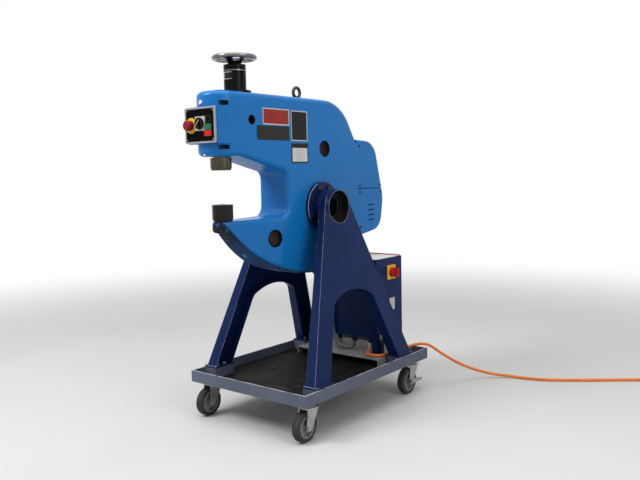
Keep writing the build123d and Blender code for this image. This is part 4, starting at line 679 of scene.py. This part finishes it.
trunnion_paint = finish(
    "trunnion_paint", NAVY, roughness=0.3, vary=0.1, patch=9, grain=300, specular=0.12, layers=[
        (past_flange, (0.036, 0.031, 0.027), 0.36, 0.8),
    ])
black_steel = finish(
    "black_steel", (0.045, 0.043, 0.042), roughness=0.4, metallic=0.8, vary=0.2, patch=30, grain=700, layers=[
        (specks(40, 0.62, 0.75), (0.11, 0.05, 0.025), 0.75, 0.2),
    ])
# The flanges' eased edges get the lighter edge paint, a painted highlight rim.
dressed("trunnions", "trunnion_flanges", trunnion_paint, "head", eased=0.0015, edge=highlit_worn_navy)
coat(black_steel, "trunnion_bolts", "eyebolt")


# C-frame
# Hollow casting in glossy blue paint with a wavy skin, rubbed through to dark iron at the tip of the lower
# jaw. It has cored pockets in the nose, discs in the core holes, a thin lid on top and two screws in front.
FRAME_SIDE = 0.086
BLUE = (0.005, 0.145, 0.430)
# Near black, painted into holes as their shade.
HOLE_SHADE = (0.006, 0.007, 0.010)
ACCESS_HOLE = (-0.34935, 1.277)
ACCESS_RADIUS = 0.0192
BEARING_HOLE = (0.10765, 1.168)
BEARING_RADIUS = 0.0362
JAW_PLUG = (-0.22635, 0.797)
JAW_SEAT_RADIUS = 0.0372
NOSE_AXIS = (0, -0.44135, 0)
NOSE_SKIN = 0.0834
NOSE_FADE = (-0.46, -0.33)
# Each pocket has the distance of its floor from the middle plane, and its lower and upper wall.
POCKETS = [(0.060, 1.327, 1.345), (0.056, 1.161, 1.178)]
POCKET_REAR = -0.4685
POCKET_FRONT = -0.535
POCKET_FADE = 0.002
POCKET_OVERCUT = 0.01
POCKET_CORNER = 0.004
UNDERSIDE_CENTRE = (0, 0.0177, 1.2429)
UNDERSIDE_RADIUS = 0.6139
UNDERSIDE_BAND = (0.011, 0.002)
UNDERSIDE_END = 0.02
UNDERSIDE_FADE = 0.1


def under_jaw(place):
    """A mask that is 1 on the underside of the jaw and belly, which lies on an arc, and on the jaw's nose."""
    reach = place.stretched((0, 1, 1)).from_point(UNDERSIDE_CENTRE)
    low = reach.rise(*(UNDERSIDE_RADIUS - inwards for inwards in UNDERSIDE_BAND))
    return low * (1 - place.along("Y").rise(UNDERSIDE_END, UNDERSIDE_END + UNDERSIDE_FADE))


def jaw_nose(place):
    """A mask that is 1 on the underside at the nose of the jaw and fades along it."""
    return under_jaw(place) * (1 - place.along("Y").rise(*NOSE_FADE))


def within(axis, low, high, soft=0.001):
    """A mask that is 1 between two planes."""
    return lambda place: (place.along(axis).rise(low - soft, low)
                          * (1 - place.along(axis).rise(high, high + soft)))


def in_pockets(place):
    """A mask that is 1 inside the pockets of the nose, where their shade is painted."""
    inside = in_bore(NOSE_AXIS, NOSE_SKIN, flat=(1, 1, 0), soft=0.0015)(place)
    upper, lower = (within("Z", low_z, high_z)(place) for floor_x, low_z, high_z in POCKETS)
    return inside * (upper + lower) * (1 - place.along("Y").rise(POCKET_REAR, POCKET_REAR + POCKET_FADE))


def cut_away(piece, cutter):
    """Take the shape of a cutter out of a piece."""
    modified(piece, "BOOLEAN", operation="DIFFERENCE", solver="EXACT", object=cutter)
    bpy.data.objects.remove(cutter)


blue_casting = finish(
    "blue_casting", BLUE, roughness=0.27, vary=0.05, patch=3, grain=30, depth=0.0004, specular=0.2, layers=[
        (specks(80, 0.72, 0.77), (0.004, 0.10, 0.33), 0.4, 0.0),
        # Painted shade: the underside of the jaw and belly is a darker blue, broken up in specks.
        (both(under_jaw, specks(20, 0.22, 0.45)), (0.003, 0.036, 0.115), 0.75, 0.0),
        (both(jaw_nose, specks(45, 0.34, 0.50)), (0.009, 0.0085, 0.0085), 0.85, 0.0),
        (both(jaw_nose, specks(110, 0.64, 0.70)), (0.26, 0.29, 0.32), 0.45, 0.3),
        # Painted shade: the walls of the access hole, the bearing hole and the seat of the jaw's plug are
        # near black.
        (in_bore((0, *ACCESS_HOLE), ACCESS_RADIUS), HOLE_SHADE, 0.6, 0.0),
        (in_bore((0, *BEARING_HOLE), BEARING_RADIUS), HOLE_SHADE, 0.6, 0.0),
        (in_bore((0, *JAW_PLUG), JAW_SEAT_RADIUS), (0.005, 0.006, 0.008), 0.6, 0.0),
        # Painted shade: the pockets are a dark blue.
        (in_pockets, (0.003, 0.020, 0.060), 0.5, 0.0),
    ])
casting = merged_copy("c_frame", "casting", whole_faces=False)
for floor_x, low_z, high_z in POCKETS:
    for hand in (1, -1):
        left_x, right_x = sorted((hand * floor_x, hand * (FRAME_SIDE + POCKET_OVERCUT)))
        pocket = block((left_x, POCKET_FRONT, low_z), (right_x, POCKET_REAR, high_z))
        modified(pocket, "BEVEL", width=POCKET_CORNER, segments=3)
        cut_away(casting, pocket)
settle(casting, "casting", blue_casting, "head", "blue_paint", "c_frame")

JAW_SEAT_X = 0.066
PLUG_DISC = 0.0282
PLUG_PROFILE = [(0, 0.0005), (0.0365, 0.0005), (0.0365, 0.0055), (0.0350, 0.0070), (0.0290, 0.0072),
                (0.0275, 0.0055), (0.0180, 0.0070), (0, 0.0074)]


def plug_ring(place):
    """A mask that is 1 on the outer ring of a core plug, where the shade of the gap round it is painted
    black.
    """
    return 1 - in_bore((0, *JAW_PLUG), PLUG_DISC)(place)


plug_iron = finish(
    "plug_iron", (0.030, 0.013, 0.011), roughness=0.6, vary=0.3, patch=40, grain=300, depth=0.0005, layers=[
        (specks(60, 0.5, 0.7), (0.014, 0.010, 0.009), 0.75, 0.0),
        # Painted shade: the outer ring of the plug is black.
        (plug_ring, (0.003, 0.003, 0.003), 0.7, 0.0),
    ])
for hand, name in ((1, "right_core_plug"), (-1, "left_core_plug")):
    disc = turned(PLUG_PROFILE, (hand * JAW_SEAT_X, *JAW_PLUG), (hand, 0, 0))
    settle(disc, name, plug_iron, "head", "dark_steel")

LID_LOW = (-0.060, -0.495, 1.3838)
LID_HIGH = (0.060, 0.095, 1.3858)
LID_CORNER = 0.03
lid = block(LID_LOW, LID_HIGH)
round_edges(lid, lambda middle, run: abs(run.z) > ALIGNED, LID_CORNER, segments=6)
modified(lid, "BEVEL", width=0.0008, segments=2)
settle(lid, "head_lid", blue_casting, "head", "blue_paint")

SCREW_PROFILE = [(0.0022, 0.0008), (0.0026, 0.0022), (0.0040, 0.0026), (0.0052, 0.0018), (0.0055, 0),
                 (0, -0.001), (0, 0.0008), (0.0022, 0.0008)]


def screw(foot, direction, scale=1.0, steps=20):
    """A pan-head screw with a round recess."""
    profile = [(radius * scale, height * scale) for radius, height in SCREW_PROFILE]
    return turned(profile, foot, direction, steps=steps)


bright_screw = finish(
    "bright_screw", (0.70, 0.70, 0.70), roughness=0.3, metallic=0.9, vary=0.1, patch=60, grain=900)
# Each screw has the foot and the direction of its axis, and its scale.
NOSE_SCREWS = {
    "nose_screw": ((-0.0105, -0.5266, 1.3399), (-0.122, -0.99, 0), 1.7),
    "lower_nose_screw": ((0.0010, -0.5262, 1.1400), (0.010, -0.97, -0.24), 0.8),
}
for name, (foot, direction, scale) in NOSE_SCREWS.items():
    settle(screw(foot, direction, scale, steps=40), name, bright_screw, "head", "zinc")


# Rear cover and drive
# Two pressed sheet-steel covers, screwed to the casting and painted with it, with a black strip of painted
# shade behind the seam.
# The lower one has louvres. Inside are the painted motor, the belt, and bearings and levers of bare steel.
cover_paint = finish(
    "cover_paint", BLUE, roughness=0.32, vary=0.05, patch=3, grain=380, depth=0.0001, specular=0.2)
for half in ("upper", "lower"):
    dressed("rear_cover_" + half, half + "_cover_sheet", cover_paint, "head", eased=0.0012)
SEAM_LOW = (-0.0818, 0.349, 0.975)
SEAM_HIGH = (0.0818, 0.5535, 0.991)
SEAM_WALL = 0.0012
# A near-black strip behind the seam between the covers is painted shade in the gap.
seam = block(SEAM_LOW, SEAM_HIGH)
hollow_out(seam, lambda centre, normal: abs(normal.z) > ALIGNED or normal.y < -ALIGNED, SEAM_WALL)
seam_shade = finish("seam_shade", (0.012, 0.013, 0.016), roughness=0.6, vary=0.2, patch=40, grain=900)
settle(seam, "seam_shade_strip", seam_shade, "head", "black_plastic")
COVER_SIDE = 0.085
COVER_SCREWS = [(0.3735, 1.1843), (0.3735, 0.9970), (0.5450, 0.9970), (0.3735, 0.9660), (0.5485, 0.9660),
                (0.3735, 0.8000)]
black_screw = finish(
    "black_screw", (0.020, 0.020, 0.021), roughness=0.4, metallic=0.5, vary=0.2, patch=60, grain=900)


def set_out(model, positions):
    """Copies of a model at several positions, as one piece in place of the model."""
    copies = []
    for position in positions:
        only(model)
        bpy.ops.object.duplicate()
        copies.append(bpy.context.active_object)
        copies[-1].location = position
    bpy.data.objects.remove(model)
    only(copies[0])
    for twin in copies:
        twin.select_set(True)
    bpy.ops.object.join()
    return copies[0]


for hand, name in ((1, "right_cover_screws"), (-1, "left_cover_screws")):
    positions = [(hand * COVER_SIDE, y, z) for y, z in COVER_SCREWS]
    screws = set_out(screw((0, 0, 0), (hand, 0, 0)), positions)
    settle(screws, name, black_screw, "head", "dark_steel")

motor_paint = finish(
    "motor_paint", (0.09, 0.10, 0.11), roughness=0.5, vary=0.15, patch=10, grain=200, depth=0.0004)
belt_rubber = finish("belt_rubber", (0.020, 0.020, 0.021), roughness=0.65, vary=0.2, patch=30, grain=900)
lever_steel = finish(
    "lever_steel", (0.22, 0.21, 0.20), roughness=0.45, metallic=1.0, vary=0.15, patch=15, grain=500)
bearing_steel = finish(
    "bearing_steel", (0.022, 0.014, 0.011), roughness=0.5, metallic=0.6, vary=0.25, patch=40, grain=500)
coat(motor_paint, "motor_body")
coat(belt_rubber, "drive_belt")
coat(lever_steel, "rocker_lever", "fulcrum_block", "motor_shaft", "ram")
coat(bearing_steel, "eccentric_bearings", "eccentric_shaft")


# Tool holders
# Turned and blackened steel cups for the forming tools, one screwed to the ram and one let into the jaw.
# Hands and oil have rubbed them bright in places.
def lathe_rings(place):
    """A mask of the fine rings that turning leaves."""
    return place.stretched((3, 3, 1800)).noise(1.0, detail=3.0).rise(0.35, 0.65)


oiled_steel = finish(
    "oiled_steel", (0.062, 0.054, 0.038), roughness=0.26, metallic=0.95, vary=0.2, patch=12, grain=600,
    layers=[
        (lathe_rings, (0.085, 0.075, 0.055), 0.22, 0.95),
        (specks(24, 0.58, 0.8), (0.030, 0.026, 0.020), 0.35, 0.9),
    ])
black_oxide = finish(
    "black_oxide", (0.016, 0.015, 0.0145), roughness=0.2, metallic=0.7, vary=0.2, patch=12, grain=600,
    layers=[
        (lathe_rings, (0.026, 0.025, 0.023), 0.17, 0.8),
        (specks(26, 0.66, 0.82), (0.10, 0.095, 0.085), 0.3, 1.0),
    ])
dressed("upper_tool_holder", "upper_tool_cup", oiled_steel, "ram", eased=0.0008)
dressed("lower_tool_holder", "lower_tool_cup", black_oxide, "head", eased=0.0008)


# Column and handwheel
# A black glossy column on the head holds the adjusting spindle, with a bright ring near the top and a small
# plate bent round its front. The handwheel is cast and polished. A dished web joins its spokes.
COLUMN_Y = -0.34935
UP = (0, 0, 1)
column_gloss = finish(
    "column_gloss", (0.005, 0.004, 0.0035), roughness=0.14, vary=0.2, patch=12, grain=600, depth=0.00002,
    specular=0.07)
polished = finish(
    "polished_metal", (0.18, 0.18, 0.18), roughness=0.22, metallic=1.0, vary=0.15, patch=14, grain=400,
    depth=0.0001, layers=[
        (specks(30, 0.55, 0.85), (0.10, 0.098, 0.096), 0.36, 1.0),
    ])
coat(column_gloss, "column")
coat(polished, "handwheel", "spindle")
RING_FOOT = (0, COLUMN_Y, 1.4705)
RING_PROFILE = [(0.0440, 0), (0.0452, 0.0004), (0.0454, 0.0022), (0.0452, 0.0040), (0.0440, 0.0044),
                (0.0440, 0)]
ring = turned(RING_PROFILE, RING_FOOT, UP, steps=64)
settle(ring, "column_ring", polished, "head", "polished_steel")

WEB_PROFILE = [(0.0215, 1.4990), (0.0260, 1.5020), (0.0330, 1.5085), (0.0450, 1.5135), (0.0760, 1.5200),
               (0.0760, 1.5260), (0.0450, 1.5205), (0.0215, 1.5165), (0.0215, 1.4990)]
WEB_HOLES = 5
WEB_HOLE_REACH = 0.050
WEB_HOLE_RADIUS = 0.0175
WEB_HOLE_FOOT = 1.49
WEB_HOLE_HEIGHT = 0.05
HOLE_PROFILE = [(0, 0), (WEB_HOLE_RADIUS, 0), (WEB_HOLE_RADIUS, WEB_HOLE_HEIGHT), (0, WEB_HOLE_HEIGHT)]
web = turned(WEB_PROFILE, (0, COLUMN_Y, 0), UP, steps=64)
for number in range(WEB_HOLES):
    turn = math.tau * (number + 0.5) / WEB_HOLES
    foot = (WEB_HOLE_REACH * math.cos(turn), COLUMN_Y + WEB_HOLE_REACH * math.sin(turn), WEB_HOLE_FOOT)
    cut_away(web, turned(HOLE_PROFILE, foot, UP, steps=32))
modified(web, "BEVEL", width=0.001, segments=2, limit_method="ANGLE", angle_limit=math.radians(50))
settle(web, "handwheel_web", polished, "adjuster", "polished_steel")

COLUMN_SKIN = 0.0445
COLUMN_PLATE_LOW = 1.438
COLUMN_PLATE_HIGH = 1.466
COLUMN_PLATE_WIDTH = 0.048
COLUMN_PLATE_RIM = 0.0023
BENT_SHEET = 0.0002


def curved_plate(name, material, slot, rise, rim):
    """A thin plate bent round the front of the column, smaller by a rim on all sides."""
    outer = COLUMN_SKIN + rise
    inner = outer - BENT_SHEET
    low = COLUMN_PLATE_LOW + rim
    high = COLUMN_PLATE_HIGH - rim
    angle = (COLUMN_PLATE_WIDTH - 2 * rim) / outer
    profile = [(inner, low), (outer, low), (outer, high), (inner, high), (inner, low)]
    piece = turned(profile, (0, 0, 0), UP, steps=24, angle=angle)
    piece.rotation_euler = (0, 0, -math.pi - angle)
    piece.location = (0, COLUMN_Y, 0)
    settle(piece, name, material, "head", slot)


pale_print = finish(
    "pale_print", (0.50, 0.48, 0.48), roughness=0.45, vary=0.08, patch=40, grain=900, depth=0.00005)
black_print = finish(
    "black_print", (0.007, 0.007, 0.0075), roughness=0.4, vary=0.2, patch=40, grain=900, depth=0.00005)
curved_plate("column_plate", pale_print, "grey_plastic", rise=0.0005, rim=0)
curved_plate("column_field", black_print, "black_plastic", rise=0.0008, rim=COLUMN_PLATE_RIM)


# Side plates
# Thin plates stuck to the right side of the casting: a red one with a pale rim, a dark one, a black one in a
# bright frame, and a pale one with a dark head strip.
TO_RIGHT = Vector((1, 0, 0))
FIELD_DEPTH = 0.0003


def plate(low, high, facing, rim, field, rim_width, corner=0.0012):
    """A thin plate with round corners, a rim and a field that lies a little deeper."""
    piece = block(low, high)
    piece.data.materials.append(rim)
    piece.data.materials.append(field)
    pick_faces(piece, lambda centre, normal: normal.dot(facing) > ALIGNED)
    bpy.ops.mesh.inset(thickness=rim_width, depth=-FIELD_DEPTH)
    piece.active_material_index = 1
    bpy.ops.object.material_slot_assign()
    bpy.ops.object.mode_set(mode="OBJECT")
    round_edges(piece, lambda middle, run: abs(run.dot(facing)) > ALIGNED, corner, segments=3)
    return piece


red_print = finish(
    "red_print", (0.27, 0.026, 0.021), roughness=0.4, vary=0.12, patch=30, grain=900, depth=0.00005)
dark_print = finish(
    "dark_print", (0.018, 0.018, 0.016), roughness=0.45, vary=0.15, patch=20, grain=900, depth=0.00005)
silver_print = finish(
    "silver_print", (0.50, 0.50, 0.50), roughness=0.35, metallic=0.4, vary=0.08, patch=30, grain=900,
    depth=0.00005)
PLATE_RISE = 0.0012
FLAT = 2
# Each plate has its lower and upper corner in Y and Z, its rim, its field and the width of the rim.
SIDE_PLATES = {
    "red_plate": ((-0.2878, 1.2610), (-0.1270, 1.3276), pale_print, red_print, 0.0045),
    "dark_plate": ((-0.3223, 1.2000), (-0.1296, 1.2564), black_print, dark_print, 0.0020),
    "framed_plate": ((-0.1158, 1.1991), (-0.0110, 1.3250), silver_print, black_print, 0.0038),
    "pale_plate": ((-0.1170, 1.1063), (-0.0085, 1.1886), black_print, silver_print, 0.0055),
}
for name, (low, high, rim, field, rim_width) in SIDE_PLATES.items():
    sheet = plate((FRAME_SIDE, *low), (FRAME_SIDE + PLATE_RISE, *high), TO_RIGHT, rim, field, rim_width)
    settle(sheet, name, None, "head", "black_plastic", sharp=FLAT)
STRIP_PROUD = 0.0002
STRIP_LOW = (FRAME_SIDE, -0.1150, 1.1700)
STRIP_HIGH = (FRAME_SIDE + PLATE_RISE + STRIP_PROUD, -0.0105, 1.1870)
strip = plate(STRIP_LOW, STRIP_HIGH, TO_RIGHT, black_print, black_print, rim_width=0.0015, corner=0.001)
settle(strip, "plate_strip", None, "head", "black_plastic", sharp=FLAT)


# Control panel
# Grey plastic housing screwed to the band round the nose, with a black front plate. It carries the emergency
# stop on a yellow ring, a selector switch on a pale square, a blanking plug and the double push button.
HOUSING_PAINT_LINE = -0.5385
PAINT_LINE_WIDTH = 0.0006


def behind_line(place):
    """A mask that is 1 on the rear of the housing, which is painted with the band."""
    return place.along("Y").rise(HOUSING_PAINT_LINE, HOUSING_PAINT_LINE + PAINT_LINE_WIDTH)


grey_plastic = finish(
    "grey_plastic", (0.29, 0.31, 0.335), roughness=0.45, vary=0.06, patch=20, grain=1100, depth=0.0001,
    layers=[
        (behind_line, BLUE, 0.3, 0.0),
    ])
panel_black = finish(
    "panel_black", (0.0025, 0.0025, 0.0027), roughness=0.42, vary=0.2, patch=20, grain=1300, depth=0.00002,
    specular=0.02)
knob_black = finish(
    "knob_black", (0.007, 0.007, 0.0075), roughness=0.35, vary=0.2, patch=40, grain=1300, depth=0.0001)
stop_red = finish(
    "stop_red", (0.22, 0.008, 0.020), roughness=0.3, vary=0.08, patch=40, grain=1300, depth=0.00006)
push_red = finish(
    "push_red", (0.46, 0.020, 0.020), roughness=0.38, vary=0.08, patch=40, grain=1300, depth=0.00006)
push_green = finish(
    "push_green", (0.022, 0.135, 0.070), roughness=0.38, vary=0.1, patch=40, grain=1300, depth=0.00006)
ring_yellow = finish(
    "ring_yellow", (0.74, 0.47, 0.012), roughness=0.4, vary=0.06, patch=40, grain=1300, depth=0.00006)
dressed("panel_housing", "panel_box", grey_plastic, "head", eased=0.0015)
coat(panel_black, "panel_plate")
coat(knob_black, "selector_knob")
coat(stop_red, "estop_button")
coat(push_red, "red_button")
coat(push_green, "green_button")

TO_FRONT = Vector((0, -1, 0))
PANEL_FRONT = -0.54435
STOP_CENTRE = (-0.048, PANEL_FRONT, 1.253)
STOP_RING = [(0.0170, 0), (0.0300, 0), (0.0300, 0.0012), (0.0292, 0.0026), (0.0245, 0.0034), (0.0225, 0.0030),
             (0.0215, 0.0034), (0.0180, 0.0032), (0.0170, 0.0020), (0.0170, 0)]
collar = turned(STOP_RING, STOP_CENTRE, TO_FRONT, steps=56)
settle(collar, "stop_ring", ring_yellow, "head", "yellow_plastic", "control_plates")
SQUARE_LOW = (-0.023, -0.5478, 1.232)
SQUARE_HIGH = (0.031, PANEL_FRONT, 1.286)
square = plate(SQUARE_LOW, SQUARE_HIGH, TO_FRONT, pale_print, pale_print, rim_width=0.002)
settle(square, "selector_plate", None, "head", "grey_plastic", "control_plates", sharp=FLAT)
BLANK_LOW = (0.037, -0.5462, 1.262)
BLANK_HIGH = (0.061, PANEL_FRONT, 1.288)
blank = plate(BLANK_LOW, BLANK_HIGH, TO_FRONT, dark_print, panel_black, rim_width=0.003, corner=0.0025)
settle(blank, "blank_plug", None, "head", "black_plastic", sharp=FLAT)
POINTER_LOW = (-0.0013, -0.0004, -0.018)
POINTER_HIGH = (0.0013, 0.0003, 0.018)
POINTER_PLACE = (0.004, -0.5637, 1.259)
pointer = block(POINTER_LOW, POINTER_HIGH)
modified(pointer, "BEVEL", width=0.0003, segments=1)
pointer.rotation_euler = (0, math.radians(45), 0)
pointer.location = POINTER_PLACE
settle(pointer, "selector_pointer", pale_print, "selector", "grey_plastic")

PANEL_SCREWS = [(x, PANEL_FRONT, z) for x in (-0.071, 0.071) for z in (1.198, 1.308)]
PANEL_SCREW_SCALE = 0.42
corner_screws = set_out(screw((0, 0, 0), TO_FRONT, PANEL_SCREW_SCALE), PANEL_SCREWS)
settle(corner_screws, "panel_screws", zinc_plate, "head", "zinc")


# Electric cabinet
# Folded sheet-steel box in navy paint on strap feet, one of them bolted to its right side below the main
# switch, with a hinged door at the rear and a pale sheet with a red rear edge on top.
dressed("cabinet_box", "cabinet_shell", navy_paint, "cart", eased=0.002)
dressed("cabinet_door", "cabinet_lid", navy_paint, "door", eased=0.0015)
dressed("cabinet_feet", "cabinet_straps", navy_paint, "cart", eased=0.0008)
STRAP_OUTER = 0.1942
STRAP_LOW = (0.1902, 0.3460, 0.1985)
STRAP_HIGH = (STRAP_OUTER, 0.3985, 0.2960)
STRAP_MIDDLE = (STRAP_LOW[2] + STRAP_HIGH[2]) / 2
STRAP_CORNER = 0.012
strap = block(STRAP_LOW, STRAP_HIGH)
round_edges(strap, lambda middle, run: abs(run.x) > ALIGNED and middle.z > STRAP_MIDDLE, STRAP_CORNER,
            segments=4)
modified(strap, "BEVEL", width=0.0008, segments=2, limit_method="ANGLE", angle_limit=math.radians(50))
settle(strap, "side_strap", navy_paint, "cart", "navy_paint")
FOOT_BOLT = (STRAP_OUTER, 0.3655, 0.279)
BOLT_PROFILE = [(0, 0), (0.011, 0), (0.011, 0.002), (0.0085, 0.0022), (0.0085, 0.0070), (0.0075, 0.0078),
                (0, 0.0080)]
foot_bolt = turned(BOLT_PROFILE, FOOT_BOLT, TO_RIGHT, steps=24)
settle(foot_bolt, "foot_bolt", zinc_plate, "cart", "zinc")
gear_grey = finish("gear_grey", (0.30, 0.31, 0.32), roughness=0.5, vary=0.12, patch=20, grain=600)
coat(gear_grey, "switchgear")
coat(ring_yellow, "switch_plate")
coat(push_red, "switch_knob")
white_sheet = finish("white_sheet", (0.70, 0.69, 0.68), roughness=0.5, vary=0.05, patch=10, grain=500)
edge_red = finish("edge_red", (0.40, 0.025, 0.030), roughness=0.45, vary=0.1, patch=20, grain=700)
TOP_Z = 0.650
TOP_SHEET = 0.002
TOP_EDGE = 0.006
TOP_HALF = 0.186
TOP_FRONT = 0.352
TOP_REAR = 0.548
EDGE_REAR = 0.559
top = block((-TOP_HALF, TOP_FRONT, TOP_Z), (TOP_HALF, TOP_REAR, TOP_Z + TOP_SHEET))
modified(top, "BEVEL", width=0.0008, segments=2)
settle(top, "top_sheet", white_sheet, "cart", "grey_plastic")
edge = block((-TOP_HALF, TOP_REAR, TOP_Z), (TOP_HALF, EDGE_REAR, TOP_Z + TOP_EDGE))
modified(edge, "BEVEL", width=0.0015, segments=2)
settle(edge, "top_edge", edge_red, "cart", "red_plastic")
CABINET_SIDE = 0.190
TAG_LOW = (CABINET_SIDE, 0.4550, 0.3954)
TAG_HIGH = (CABINET_SIDE + PLATE_RISE, 0.4994, 0.4542)
tag = plate(TAG_LOW, TAG_HIGH, TO_RIGHT, silver_print, pale_print, rim_width=0.003)
settle(tag, "cabinet_tag", None, "cart", "grey_plastic", sharp=FLAT)
